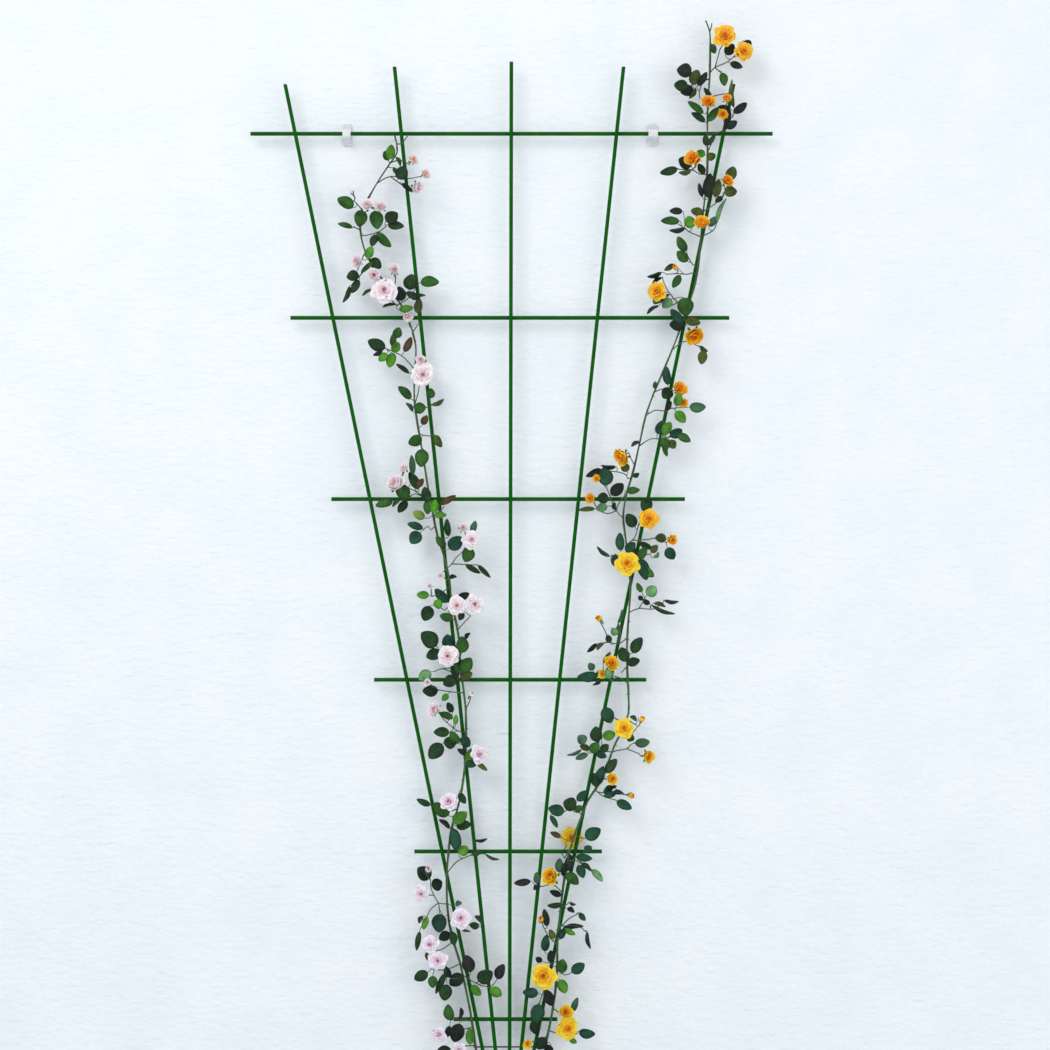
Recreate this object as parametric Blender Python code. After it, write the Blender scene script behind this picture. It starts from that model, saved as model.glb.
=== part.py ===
"""Two climbing roses, one pink and one yellow, on a fan trellis hung on two wall hooks.

Metres, +Z up.  X runs to the right along the wall, +Y points at the wall, and the
origin is the middle of the foot of the middle upright.  All sizes below are millimetres.
"""
import math
import random

import bmesh
import bpy
from mathutils import Matrix, Vector

for old in list(bpy.data.objects):
    bpy.data.objects.remove(old, do_unlink=True)

# Driving dimensions
MM = 0.001
GAP = 0.3                     # between pieces that touch
ROD_D = 6.4                   # coated steel rod of the trellis
ROD_SIDES = 8
UPRIGHT_HEIGHT = (1645.0, 1673.0, 1681.0, 1673.0, 1645.0)
UPRIGHT_TOP_X = (-359.0, -184.0, 3.0, 182.5, 358.6)
UPRIGHT_FOOT_X = (-22.4, -12.2, 0.0, 8.2, 18.6)
BAR_HEIGHT = (1567.0, 1272.0, 981.5, 692.0, 416.8, 148.0)
BAR_LEFT = (-415.0, -351.0, -285.5, -217.0, -152.5, -89.5)
BAR_RIGHT = (421.5, 352.0, 281.0, 219.0, 148.0, 76.5)
FOOT_WIRE_D = 2.4             # thin wire that keeps the feet of the fan together
FOOT_WIRE_HEIGHT = 104.0
FOOT_WIRE_HALF = 58.0
WALL_Y = 26.0                 # face of the wall behind the trellis
HOOK_X = (-261.0, 230.0)
HOOK_WIDTH = (13.0, 15.0)
HOOK_PLATE = 2.4              # plate that is stuck to the wall
HOOK_PLATE_TOP = 18.0         # the plate's ends, from the middle of the bar
HOOK_PLATE_FOOT = 17.0
HOOK_ARM = 2.2
HOOK_LIP = 7.0                # how far the arm stands up in front of the bar
HOOK_WEB = 3.2                # the arm is this much deeper at the plate
CANE_BASE_R = 2.7
CANE_TIP_R = 1.4
CANE_HEIGHT = 1700.0
CANE_STEP = 36.0              # between the rings of a cane
STEM_BASE_R = 1.5             # leafy stem in front of a cane
STEM_TIP_R = 1.2
STEM_STEP = 24.0
STALK_R = 0.75
LEAF_DROP = 0.35              # a stalk starts lower on the stem, as a share of its reach
BLOOM_DROP = 0.5
LEAST_DROP = 6.0
STALK_LEAD = 7.0              # a bloom's stalk runs straight into it for this length
BUD_LEAD = 9.0
HIP_LENGTH = 2.0              # the stalk swells into a hip behind the bloom
ROOT_SPREAD = 0.35            # no two stalks start at one point in the stem
TWIN_STALK_R = 1.6            # joins two blooms that grow from one stalk
LEAF_ROLL = 18.0              # degrees, either way
LEAF_SWAY = 0.16              # how far a tip leans out of the wall's plane, of its length
CALM_SWAY = 3.0               # a leaf under a bloom lies flatter, in millimetres and as a share
CALM_ROLL = 0.6
LEAF_FOLD = 0.07              # the rim stands forward of the rib, of the width there
RIB_THICK = 1.5               # a leaf is thickest at its rib
BLOOM_FRONT = -25.0           # leaves stay behind this depth, blooms in front of it
TURN_BACK = 0.25              # a leaf that turns back over its stalk gets a short neck
LEAF_NECK = 5.0
LEAST_LEAF = 240.0            # length times width of the smallest leaf made here
WELD = 0.0005                 # points of a union closer than this become one
SEED = 41
MOST_DRAWS = 40               # the leaves' lean is drawn again where the union doesn't close
SEEDS_A_STEM = 100
SMOOTH_ANGLE = 40.0           # degrees; sharper edges stay sharp

# Colours
TRELLIS_GREEN = (0.006, 0.115, 0.006)
WIRE_GREEN = (0.01, 0.03, 0.012)
HOOK_GREY = (0.72, 0.74, 0.76)
CANE_GREEN = (0.10, 0.13, 0.03)
LEAF_GREEN = (0.035, 0.13, 0.02)
PINK_PETAL = (0.86, 0.60, 0.66)
YELLOW_PETAL = (0.95, 0.55, 0.03)

ROD_R = ROD_D / 2
BAR_Y = ROD_D + GAP           # crossbars lie behind the uprights

# Routes of the two canes along the wall: x, z from the foot to the tip
PINK_ROUTE = [
    (-33, 1), (-44, 50), (-53, 100), (-60, 148), (-70, 200), (-79, 240), (-89, 275),
    (-97, 310), (-100, 345), (-100, 385), (-97, 420), (-92, 456), (-83, 487), (-76, 520),
    (-71, 560), (-69, 600), (-70, 645), (-74, 680), (-79, 712), (-79, 745), (-84, 780),
    (-92, 815), (-96, 850), (-102, 880), (-111, 910), (-118, 938), (-123, 965),
    (-130, 998), (-136, 1035), (-142, 1075), (-148, 1112), (-152, 1140), (-152, 1176),
    (-150, 1205), (-150, 1228), (-157, 1256), (-168, 1284), (-188, 1312), (-208, 1338),
    (-226, 1366), (-235, 1392), (-238, 1420), (-235, 1444), (-222, 1468), (-207, 1494),
    (-191, 1518), (-180, 1534), (-180, 1548), (-183, 1562)]
YELLOW_ROUTE = [
    (36, 1), (46, 50), (54, 90), (61, 125), (68, 160), (73, 195), (76, 235), (77, 280),
    (82, 330), (87, 372), (95, 415), (108, 455), (124, 497), (142, 526), (156, 556),
    (168, 588), (181, 614), (190, 640), (190, 670), (188, 705), (188, 750), (191, 800),
    (193, 840), (190, 880), (185, 925), (182, 955), (187, 990), (197, 1025),
    (209, 1075), (218, 1114), (231, 1152), (247, 1190), (268, 1240), (284, 1284),
    (295, 1320), (302, 1362), (306, 1400), (311, 1450), (315, 1500), (316, 1545),
    (317, 1600), (319, 1652), (320, 1697), (320, 1727), (314, 1745)]

# Leafy stems: the stretch of the cane that each one runs along
STEM_SPANS = {
    "pink_leafy_stem_low": (92.0, 694.0), "pink_leafy_stem_middle": (699.0, 1255.0),
    "pink_leafy_stem_top": (1260.0, 1560.0),
    "yellow_leafy_stem_low": (92.0, 664.0), "yellow_leafy_stem_middle": (669.0, 1235.0),
    "yellow_leafy_stem_top": (1240.0, 1741.0)}

# Leaves: x and z of the base, x and z of the tip, width, and the layer that it lies in:
# b back, near the cane; m middle; f forward; o out in front of a bloom
PINK_LEAVES = [
    (-192, 1522, -187, 1546, 13, "f"), (-193, 1521, -199, 1536, 11, "m"),
    (-181, 1527, -173, 1513, 5, "b"), (-178, 1492, -166, 1512, 18, "b"),
    (-172, 1485, -154, 1471, 7, "b"), (-186, 1509, -176, 1503, 5, "m"),
    (-249, 1446, -274, 1462, 18, "m"), (-250, 1414, -274, 1421, 8, "m"),
    (-235, 1442, -240, 1415, 18, "f"), (-214, 1441, -210, 1411, 19, "f"),
    (-197, 1424, -178, 1437, 18, "m"), (-194, 1419, -168, 1416, 12, "b"),
    (-211, 1406, -189, 1383, 13, "m"), (-211, 1403, -220, 1384, 12, "b"),
    (-226, 1364, -219, 1384, 13, "f"), (-222, 1364, -205, 1350, 15, "b"),
    (-218, 1359, -237, 1342, 7, "m"), (-240, 1338, -260, 1336, 16, "b"),
    (-240, 1331, -252, 1310, 11, "b"), (-255, 1321, -266, 1295, 6, "b"),
    (-217, 1316, -235, 1305, 6, "b"), (-160, 1315, -155, 1340, 19, "b"),
    (-142, 1326, -112, 1328, 17, "m"), (-172, 1297, -176, 1320, 17, "m"),
    (-146, 1300, -165, 1311, 11, "b"), (-148, 1303, -134, 1307, 4, "b"),
    (-176, 1283, -153, 1287, 10, "f"), (-182, 1292, -203, 1288, 5, "b"),
    (-146, 1277, -144, 1302, 12, "m"),
    (-180, 1238, -176, 1255, 13, "m"), (-198, 1222, -226, 1234, 17, "b"),
    (-184, 1222, -185, 1246, 10, "m"), (-186, 1216, -176, 1231, 13, "f"),
    (-168, 1216, -156, 1240, 11, "m"), (-203, 1220, -217, 1210, 6, "b"),
    (-195, 1213, -208, 1201, 11, "f"), (-184, 1214, -192, 1191, 15, "f"),
    (-160, 1182, -181, 1197, 7, "b"), (-157, 1141, -177, 1161, 13, "m"),
    (-154, 1121, -165, 1135, 6, "b"), (-152, 1127, -133, 1127, 16, "m"),
    (-128, 1142, -124, 1158, 13, "m"), (-124, 1131, -104, 1140, 5, "m"),
    (-139, 1100, -131, 1115, 10, "b"), (-140, 1080, -161, 1069, 16, "m"),
    (-119, 1083, -108, 1064, 12, "b"), (-139, 1061, -141, 1032, 19, "f"),
    (-154, 1020, -156, 1052, 9, "m"), (-145, 997, -160, 1025, 13, "b"),
    (-162, 983, -179, 1005, 19, "f"), (-148, 1000, -137, 1014, 9, "m"),
    (-131, 977, -135, 1001, 14, "f"), (-186, 977, -214, 971, 13, "m"),
    (-175, 979, -187, 969, 6, "m"), (-163, 978, -178, 960, 12, "b"),
    (-128, 981, -131, 957, 13, "m"), (-121, 959, -118, 981, 12, "f"),
    (-120, 956, -100, 956, 9, "f"), (-111, 973, -85, 987, 9, "m"),
    (-135, 951, -153, 961, 12, "f"), (-138, 934, -163, 943, 11, "m"),
    (-142, 928, -158, 911, 18, "m"), (-97, 922, -100, 950, 10, "m"),
    (-60, 928, -54, 947, 9, "b"), (-96, 902, -76, 921, 19, "m"),
    (-62, 904, -71, 881, 18, "m"), (-70, 877, -46, 863, 8, "m"),
    (-50, 876, -30, 856, 7, "m"), (-102, 905, -117, 922, 11, "b"),
    (-96, 855, -84, 858, 3, "b"), (-98, 817, -119, 838, 14, "b"),
    (-128, 828, -148, 829, 11, "f"), (-113, 822, -113, 806, 13, "f"),
    (-127, 811, -136, 787, 18, "m"), (-84, 822, -64, 831, 11, "b"),
    (-91, 790, -111, 796, 12, "m"), (-74, 801, -80, 788, 9, "b"),
    (-116, 747, -140, 769, 23, "m"), (-97, 744, -99, 766, 17, "b"),
    (-110, 738, -133, 729, 16, "b"), (-76, 736, -75, 763, 18, "m"),
    (-70, 758, -63, 768, 4, "b"), (-77, 706, -61, 728, 18, "m"),
    (-84, 706, -80, 730, 12, "f"), (-78, 696, -59, 704, 13, "b"),
    (-83, 696, -92, 716, 11, "m"), (-125, 706, -144, 694, 16, "f"),
    (-84, 694, -106, 686, 18, "b"), (-114, 676, -139, 675, 16, "b"),
    (-98, 671, -107, 660, 9, "f"), (-91, 641, -99, 657, 10, "b"),
    (-90, 632, -111, 641, 10, "m"), (-86, 622, -85, 638, 7, "f"),
    (-96, 609, -121, 610, 14, "b"), (-80, 592, -95, 611, 13, "m"),
    (-94, 603, -95, 582, 17, "b"), (-107, 591, -128, 568, 20, "m"),
    (-75, 604, -64, 586, 14, "m"), (-67, 574, -83, 583, 8, "b"),
    (-66, 560, -60, 584, 13, "f"), (-70, 561, -52, 558, 11, "m"),
    (-53, 563, -35, 548, 7, "m"), (-80, 513, -70, 496, 10, "m"),
    (-126, 493, -148, 503, 9, "b"), (-97, 477, -121, 497, 18, "m"),
    (-90, 466, -67, 483, 16, "f"), (-85, 460, -61, 463, 14, "b"),
    (-95, 456, -112, 471, 4, "b"), (-90, 456, -82, 418, 16, "b"),
    (-56, 437, -35, 440, 5, "b"), (-80, 416, -67, 428, 15, "f"),
    (-60, 415, -46, 419, 10, "m"), (-38, 415, -16, 407, 5, "m"),
    (-127, 376, -146, 394, 20, "b"), (-124, 364, -107, 370, 18, "b"),
    (-131, 316, -137, 296, 9, "f"), (-138, 316, -145, 305, 4, "b"),
    (-143, 292, -148, 262, 8, "m"), (-108, 320, -114, 290, 22, "m"),
    (-96, 290, -112, 279, 14, "b"), (-92, 292, -88, 270, 12, "m"),
    (-86, 334, -76, 338, 6, "m"), (-80, 301, -62, 291, 6, "m"),
    (-48, 300, -64, 303, 10, "m"), (-43, 306, -55, 317, 4, "b"),
    (-133, 258, -128, 244, 7, "b"), (-130, 227, -152, 215, 15, "m"),
    (-122, 222, -122, 203, 13, "f"), (-102, 226, -118, 192, 9, "m"),
    (-100, 208, -104, 182, 18, "m"), (-95, 218, -103, 236, 10, "b"),
    (-74, 222, -96, 206, 18, "b"), (-62, 227, -70, 254, 18, "m"),
    (-60, 207, -46, 190, 12, "f"), (-50, 213, -27, 229, 20, "m"),
    (-20, 216, -9, 240, 15, "b"), (-31, 201, -12, 190, 14, "f"),
    (-94, 151, -98, 177, 15, "f"), (-79, 152, -77, 171, 5, "b"),
    (-62, 112, -64, 138, 12, "f"), (-80, 145, -88, 114, 20, "b"),
    (-95, 142, -101, 122, 9, "m"), (-94, 104, -115, 104, 5, "b")]
YELLOW_LEAVES = [
    (290, 1660, 267, 1667, 22, "m"), (291, 1643, 301, 1666, 16, "b"),
    (284, 1640, 262, 1641, 16, "f"), (293, 1637, 273, 1630, 16, "b"),
    (300, 1640, 315, 1662, 10, "m"), (322, 1707, 328, 1692, 10, "b"),
    (345, 1690, 358, 1707, 14, "b"), (374, 1712, 384, 1700, 14, "b"),
    (352, 1677, 372, 1670, 10, "b"), (339, 1661, 343, 1640, 12, "m"),
    (358, 1605, 354, 1651, 6, "m"), (297, 1637, 287, 1620, 5, "m"),
    (309, 1596, 284, 1615, 10, "f"), (312, 1583, 290, 1598, 10, "b"),
    (322, 1620, 310, 1637, 7, "m"), (317, 1583, 334, 1606, 11, "f"),
    (352, 1604, 333, 1608, 8, "b"), (357, 1597, 379, 1613, 12, "m"),
    (346, 1572, 363, 1584, 11, "m"), (344, 1570, 352, 1603, 8, "b"),
    (313, 1545, 313, 1564, 9, "b"), (316, 1545, 328, 1562, 7, "m"),
    (312, 1530, 298, 1535, 11, "f"), (315, 1522, 328, 1531, 13, "f"),
    (290, 1512, 270, 1524, 18, "b"), (268, 1508, 240, 1501, 12, "m"),
    (290, 1505, 270, 1502, 6, "b"), (311, 1500, 301, 1516, 10, "m"),
    (350, 1489, 358, 1512, 15, "f"), (342, 1470, 363, 1472, 16, "m"),
    (316, 1462, 320, 1501, 16, "b"), (328, 1462, 334, 1492, 12, "m"),
    (308, 1463, 302, 1486, 7, "b"), (340, 1463, 328, 1455, 8, "b"),
    (330, 1420, 345, 1462, 5, "m"), (276, 1440, 255, 1441, 10, "b"),
    (271, 1424, 241, 1425, 12, "m"), (290, 1413, 285, 1433, 15, "m"),
    (298, 1433, 302, 1447, 17, "b"), (318, 1416, 330, 1432, 10, "m"),
    (280, 1413, 255, 1410, 4, "b"), (282, 1376, 268, 1400, 13, "m"),
    (284, 1360, 267, 1376, 14, "f"), (262, 1356, 247, 1346, 8, "b"),
    (272, 1338, 260, 1318, 11, "f"), (243, 1343, 220, 1335, 6, "b"),
    (243, 1335, 227, 1323, 6, "b"), (240, 1306, 230, 1292, 12, "m"),
    (255, 1308, 240, 1296, 6, "b"), (258, 1300, 244, 1286, 14, "f"),
    (238, 1290, 219, 1276, 5, "b"), (276, 1302, 283, 1273, 24, "f"),
    (275, 1262, 257, 1284, 13, "m"), (278, 1258, 255, 1260, 17, "b"),
    (280, 1266, 305, 1262, 13, "m"),
    (304, 1225, 316, 1216, 3, "b"), (309, 1218, 306, 1196, 13, "m"),
    (253, 1163, 250, 1193, 12, "m"), (232, 1157, 232, 1169, 7, "m"),
    (257, 1158, 245, 1142, 17, "b"), (264, 1128, 269, 1150, 13, "o"),
    (250, 1122, 258, 1138, 8, "b"), (265, 1121, 280, 1103, 14, "f"),
    (287, 1128, 313, 1128, 15, "m"), (236, 1085, 246, 1107, 14, "b"),
    (245, 1085, 257, 1104, 14, "f"), (243, 1076, 250, 1088, 7, "m"),
    (256, 1082, 276, 1092, 14, "b"), (268, 1084, 289, 1073, 12, "m"),
    (243, 1078, 252, 1060, 14, "f"), (255, 1075, 264, 1062, 12, "m"),
    (246, 1068, 251, 1049, 7, "m"), (208, 1073, 194, 1065, 5, "b"),
    (188, 1025, 180, 1040, 12, "m"), (170, 1033, 146, 1034, 5, "b"),
    (146, 1029, 122, 1017, 10, "b"), (155, 1003, 150, 1032, 21, "f"),
    (197, 1017, 207, 1022, 7, "m"), (162, 988, 182, 1006, 16, "b"),
    (186, 994, 208, 996, 10, "f"), (158, 983, 140, 983, 16, "b"),
    (156, 970, 138, 965, 12, "f"), (136, 966, 110, 964, 7, "b"),
    (167, 976, 169, 963, 6, "m"), (226, 966, 210, 978, 18, "b"),
    (200, 937, 187, 958, 16, "m"), (178, 899, 176, 928, 13, "b"),
    (250, 918, 232, 920, 13, "m"), (252, 904, 262, 885, 16, "m"),
    (186, 897, 200, 912, 14, "m"), (190, 893, 206, 900, 14, "b"),
    (208, 912, 228, 902, 9, "b"), (226, 896, 236, 908, 10, "m"),
    (206, 886, 218, 905, 12, "f"), (230, 888, 238, 897, 6, "m"),
    (208, 886, 219, 852, 17, "m"), (215, 872, 230, 857, 12, "b"),
    (160, 890, 139, 905, 6, "b"), (170, 893, 167, 874, 12, "b"),
    (211, 833, 203, 848, 8, "m"), (219, 828, 234, 842, 16, "f"),
    (212, 820, 206, 827, 7, "b"), (224, 814, 212, 821, 8, "b"),
    (247, 820, 270, 817, 6, "b"), (230, 815, 249, 810, 4, "m"),
    (227, 812, 264, 798, 6, "m"), (173, 783, 180, 806, 5, "b"),
    (177, 765, 173, 783, 6, "m"), (172, 765, 163, 776, 11, "f"),
    (160, 752, 156, 765, 9, "b"), (139, 751, 124, 737, 7, "b"),
    (150, 752, 139, 741, 6, "m"), (150, 720, 161, 738, 7, "m"),
    (186, 722, 178, 745, 16, "b"), (196, 736, 211, 761, 16, "m"),
    (188, 718, 208, 725, 13, "m"), (140, 700, 108, 697, 15, "m"),
    (138, 699, 149, 709, 8, "m"), (158, 697, 156, 712, 13, "o"),
    (133, 708, 127, 720, 11, "b"), (146, 695, 133, 684, 4, "b"),
    (151, 649, 162, 624, 18, "m"), (203, 628, 192, 635, 6, "b"),
    (149, 602, 169, 608, 14, "f"), (139, 594, 138, 619, 17, "b"),
    (120, 592, 110, 605, 15, "f"), (128, 582, 112, 588, 9, "b"),
    (115, 582, 92, 572, 5, "b"), (125, 575, 105, 567, 9, "m"),
    (130, 577, 142, 594, 14, "f"), (145, 580, 158, 590, 12, "m"),
    (138, 577, 155, 570, 10, "m"), (196, 606, 189, 595, 11, "m"),
    (200, 592, 224, 594, 13, "m"), (154, 545, 171, 567, 14, "m"),
    (137, 524, 150, 556, 14, "b"), (140, 522, 134, 545, 12, "b"),
    (163, 524, 150, 512, 12, "b"), (156, 517, 171, 524, 4, "m"),
    (170, 513, 150, 508, 9, "m"), (165, 513, 183, 512, 5, "b"),
    (108, 500, 124, 516, 12, "b"), (106, 490, 86, 499, 20, "m"),
    (104, 483, 117, 492, 10, "m"), (171, 500, 195, 488, 13, "m"),
    (87, 482, 62, 489, 16, "b"), (65, 477, 77, 457, 8, "m"),
    (82, 442, 65, 450, 8, "b"), (121, 441, 145, 456, 18, "m"),
    (120, 421, 131, 428, 13, "m"), (106, 411, 132, 408, 11, "b"),
    (110, 398, 118, 378, 13, "m"), (114, 400, 131, 388, 6, "b"),
    (131, 391, 149, 372, 10, "m"), (80, 386, 80, 409, 12, "m"),
    (86, 380, 87, 402, 8, "m"), (92, 388, 98, 414, 14, "b"),
    (90, 385, 110, 368, 15, "f"), (44, 368, 43, 387, 10, "b"),
    (34, 372, 7, 368, 10, "b"), (48, 364, 38, 359, 6, "b"),
    (83, 349, 64, 356, 9, "b"), (84, 336, 60, 334, 9, "f"),
    (96, 339, 106, 335, 5, "m"), (92, 328, 104, 323, 3, "b"),
    (111, 322, 121, 309, 8, "m"), (60, 300, 55, 328, 10, "b"),
    (71, 281, 64, 296, 9, "f"), (56, 260, 59, 287, 12, "b"),
    (66, 242, 66, 262, 11, "b"), (52, 244, 42, 250, 9, "b"),
    (80, 280, 90, 298, 10, "m"), (88, 297, 105, 287, 8, "f"),
    (84, 295, 118, 301, 4, "b"), (124, 291, 128, 264, 6, "b"),
    (82, 226, 85, 248, 16, "f"), (99, 227, 120, 240, 15, "m"),
    (80, 216, 90, 194, 14, "f"), (46, 194, 21, 195, 14, "m"),
    (58, 198, 68, 172, 14, "b"), (46, 176, 42, 146, 20, "b"),
    (100, 163, 109, 186, 9, "b"), (111, 133, 137, 127, 16, "m"),
    (96, 122, 107, 114, 8, "m"), (38, 150, 44, 126, 14, "b"),
    (58, 122, 44, 104, 16, "b"), (66, 110, 60, 98, 14, "b")]

# Blooms: x, z of the middle, diameter, how far the face turns right and up, and the form.
# Those that grow into one another share a node.
PINK_BLOOMS = {
    "pink_bloom_01": [(-146, 1475, 25, 0.6, -0.4, "cup")],
    "pink_bloom_02": [(-226, 1449, 24, -0.1, 0.4, "cup"), (-204, 1446, 24, 0.1, 0.4, "cup")],
    "pink_bloom_03": [(-243, 1359, 25, -0.4, 0.2, "cup")],
    "pink_bloom_04": [(-199, 1313, 44, 0.0, 0.0, "open"), (-215, 1337, 25, 0.0, 0.0, "cup")],
    "pink_bloom_05": [(-182, 1346, 23, 0.2, 0.3, "cup")],
    "pink_bloom_06": [(-162, 1271, 20, 0.0, -0.6, "cup")],
    "pink_bloom_07": [(-137, 1179, 42, 0.2, 0.0, "open"), (-141, 1203, 18, 0.0, 0.2, "cup")],
    "pink_bloom_08": [(-182, 1007, 36, -0.4, 0.5, "cup"), (-168, 1031, 19, -0.2, 0.5, "cup")],
    "pink_bloom_09": [(-60, 917, 32, 0.3, 0.0, "open"), (-73, 936, 20, 0.2, 0.3, "cup")],
    "pink_bloom_10": [(-84, 812, 34, -0.1, 0.0, "open"), (-54, 814, 33, 0.3, 0.1, "open")],
    "pink_bloom_11": [(-98, 732, 38, -0.2, 0.0, "open")],
    "pink_bloom_12": [(-119, 648, 27, -0.4, 0.4, "cup")],
    "pink_bloom_13": [(-47, 576, 33, 0.4, 0.2, "open")],
    "pink_bloom_14": [(-97, 502, 33, -0.3, 0.4, "open")],
    "pink_bloom_15": [(-141, 354, 29, -0.2, 0.0, "open")],
    "pink_bloom_16": [(-77, 316, 36, 0.2, 0.2, "open")],
    "pink_bloom_17": [(-127, 274, 31, -0.2, 0.1, "open"), (-114, 248, 33, 0.0, -0.1, "open")],
    "pink_bloom_18": [(-113, 130, 29, -0.3, -0.3, "open")],
    "pink_bloom_19": [(-80, 106, 27, 0.2, -0.2, "open")]}
YELLOW_BLOOMS = {
    "yellow_bloom_01": [(342, 1717, 40, -0.1, 0.2, "open")],
    "yellow_bloom_02": [(373, 1692, 34, 0.3, 0.1, "open")],
    "yellow_bloom_03": [(316, 1612, 27, 0.0, 0.4, "cup")],
    "yellow_bloom_04": [(291, 1522, 32, -0.5, 0.3, "cup")],
    "yellow_bloom_05": [(347, 1486, 25, 0.4, 0.2, "cup")],
    "yellow_bloom_06": [(306, 1421, 28, 0.0, 0.6, "cup")],
    "yellow_bloom_07": [(233, 1311, 36, -0.6, 0.0, "open")],
    "yellow_bloom_08": [(293, 1240, 36, 0.1, -0.6, "cup")],
    "yellow_bloom_09": [(271, 1157, 27, 0.4, 0.2, "cup"), (276, 1134, 20, 0.3, -0.3, "cup")],
    "yellow_bloom_10": [(177, 1048, 34, -0.7, -0.4, "cup")],
    "yellow_bloom_11": [(222, 950, 36, 0.3, 0.1, "open")],
    "yellow_bloom_12": [(187, 879, 41, -0.1, 0.0, "open")],
    "yellow_bloom_13": [(163, 721, 29, 0.2, 0.4, "cup"), (148, 704, 18, -0.4, -0.2, "cup")],
    "yellow_bloom_14": [(182, 618, 34, -0.1, 0.3, "open")],
    "yellow_bloom_15": [(221, 572, 27, 0.6, 0.0, "cup")],
    "yellow_bloom_16": [(100, 438, 36, 0.0, 0.0, "open")],
    "yellow_bloom_17": [(64, 383, 34, -0.5, 0.4, "cup")],
    "yellow_bloom_18": [(54, 224, 44, -0.1, 0.0, "open")],
    "yellow_bloom_19": [(93, 140, 38, 0.2, 0.0, "open"), (90, 168, 28, 0.2, 0.4, "cup")]}
# Small blooms and buds, fused into the leafy stem that bears them
PINK_BUDS = [
    (-152, 1520, 20, 0.5, 0.3, "cup"), (-132, 1498, 18, 0.6, 0.2, "cup"),
    (-250, 1468, 14, -0.4, 0.7, "bud"), (-109, 859, 13, 0.0, -0.2, "cup"),
    (-127, 843, 13, -0.2, 0.0, "cup"), (-61, 671, 16, 0.4, 0.5, "bud"),
    (-130, 690, 14, 0.0, 0.0, "cup"), (-130, 392, 19, 0.2, 0.6, "bud")]
YELLOW_BUDS = [
    (345, 1618, 19, -0.1, 0.5, "cup"), (339, 1592, 19, 0.0, -0.2, "cup"),
    (264, 1349, 16, -0.4, 0.4, "bud"), (138, 1014, 14, -0.4, 0.0, "cup"),
    (128, 982, 19, -0.3, 0.0, "cup"), (259, 917, 20, 0.5, 0.0, "cup"),
    (143, 791, 19, -0.5, 0.5, "bud"), (210, 631, 20, 0.2, 0.6, "bud"),
    (164, 537, 22, 0.4, 0.0, "cup"), (192, 511, 18, 0.7, 0.0, "bud"),
    (50, 313, 19, -0.2, 0.6, "bud"), (29, 116, 17, 0.0, 0.0, "cup")]
BEHIND_UPRIGHT = "yellow_bloom_16"     # this bloom grew through, behind an upright
BEHIND_Y = 5.2
BEHIND_BENDS = ((-12.0, -7.0, -30.0), (-16.0, 16.0, -26.0))     # its stalk's way round the rod


# Materials
def material(name, colour, roughness, metallic=0.0):
    made = bpy.data.materials.new(name)
    made.use_nodes = True
    shader = made.node_tree.nodes["Principled BSDF"]
    shader.inputs["Base Color"].default_value = (*colour, 1.0)
    shader.inputs["Roughness"].default_value = roughness
    shader.inputs["Metallic"].default_value = metallic
    return made


# Mesh helpers
def mesh_object(name, points, faces):
    mesh = bpy.data.meshes.new(name)
    mesh.from_pydata([Vector(p) * MM for p in points], [], faces)
    piece = bpy.data.objects.new(name, mesh)
    bpy.context.scene.collection.objects.link(piece)
    return piece


def finish(piece, name, surface):
    """Name the piece, give it its own material and shade its round faces smooth."""
    piece.name = name
    piece.data.materials.clear()
    piece.data.materials.append(surface)
    piece.data.shade_smooth()
    piece.data.set_sharp_from_angle(angle=math.radians(SMOOTH_ANGLE))
    return piece


def frame_of(direction):
    """Two directions square to the given one."""
    helper = Vector((0, 1, 0)) if abs(direction.y) < 0.9 else Vector((1, 0, 0))
    side = direction.cross(helper).normalized()
    return side, direction.cross(side).normalized()


def tube(points, radii, sides):
    """Points and faces of a tube with flat ends through the given points."""
    points = [Vector(p) for p in points]
    verts = []
    side = None
    for index, point in enumerate(points):
        before = points[max(index - 1, 0)]
        after = points[min(index + 1, len(points) - 1)]
        run = (after - before).normalized()
        if side is None:
            side = frame_of(run)[0]
        side = (side - run * side.dot(run)).normalized()
        up = run.cross(side)
        for corner in range(sides):
            turn = math.tau * corner / sides
            verts.append(point + (side * math.cos(turn) + up * math.sin(turn)) * radii[index])
    faces = [tuple(range(sides))[::-1]]
    for ring in range(len(points) - 1):
        for corner in range(sides):
            low = ring * sides + corner
            low_next = ring * sides + (corner + 1) % sides
            faces.append((low, low_next, low_next + sides, low + sides))
    top = (len(points) - 1) * sides
    faces.append(tuple(top + corner for corner in range(sides)))
    return verts, faces


def outward(verts, faces):
    """Turn the faces of a closed shape outwards."""
    shape = bmesh.new()
    made = [shape.verts.new(v) for v in verts]
    for face in faces:
        shape.faces.new([made[i] for i in face])
    bmesh.ops.recalc_face_normals(shape, faces=shape.faces)
    if shape.calc_volume(signed=True) < 0:
        bmesh.ops.reverse_faces(shape, faces=shape.faces)
    shape.verts.index_update()
    turned = [tuple(v.index for v in face.verts) for face in shape.faces]
    shape.free()
    return verts, turned


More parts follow.
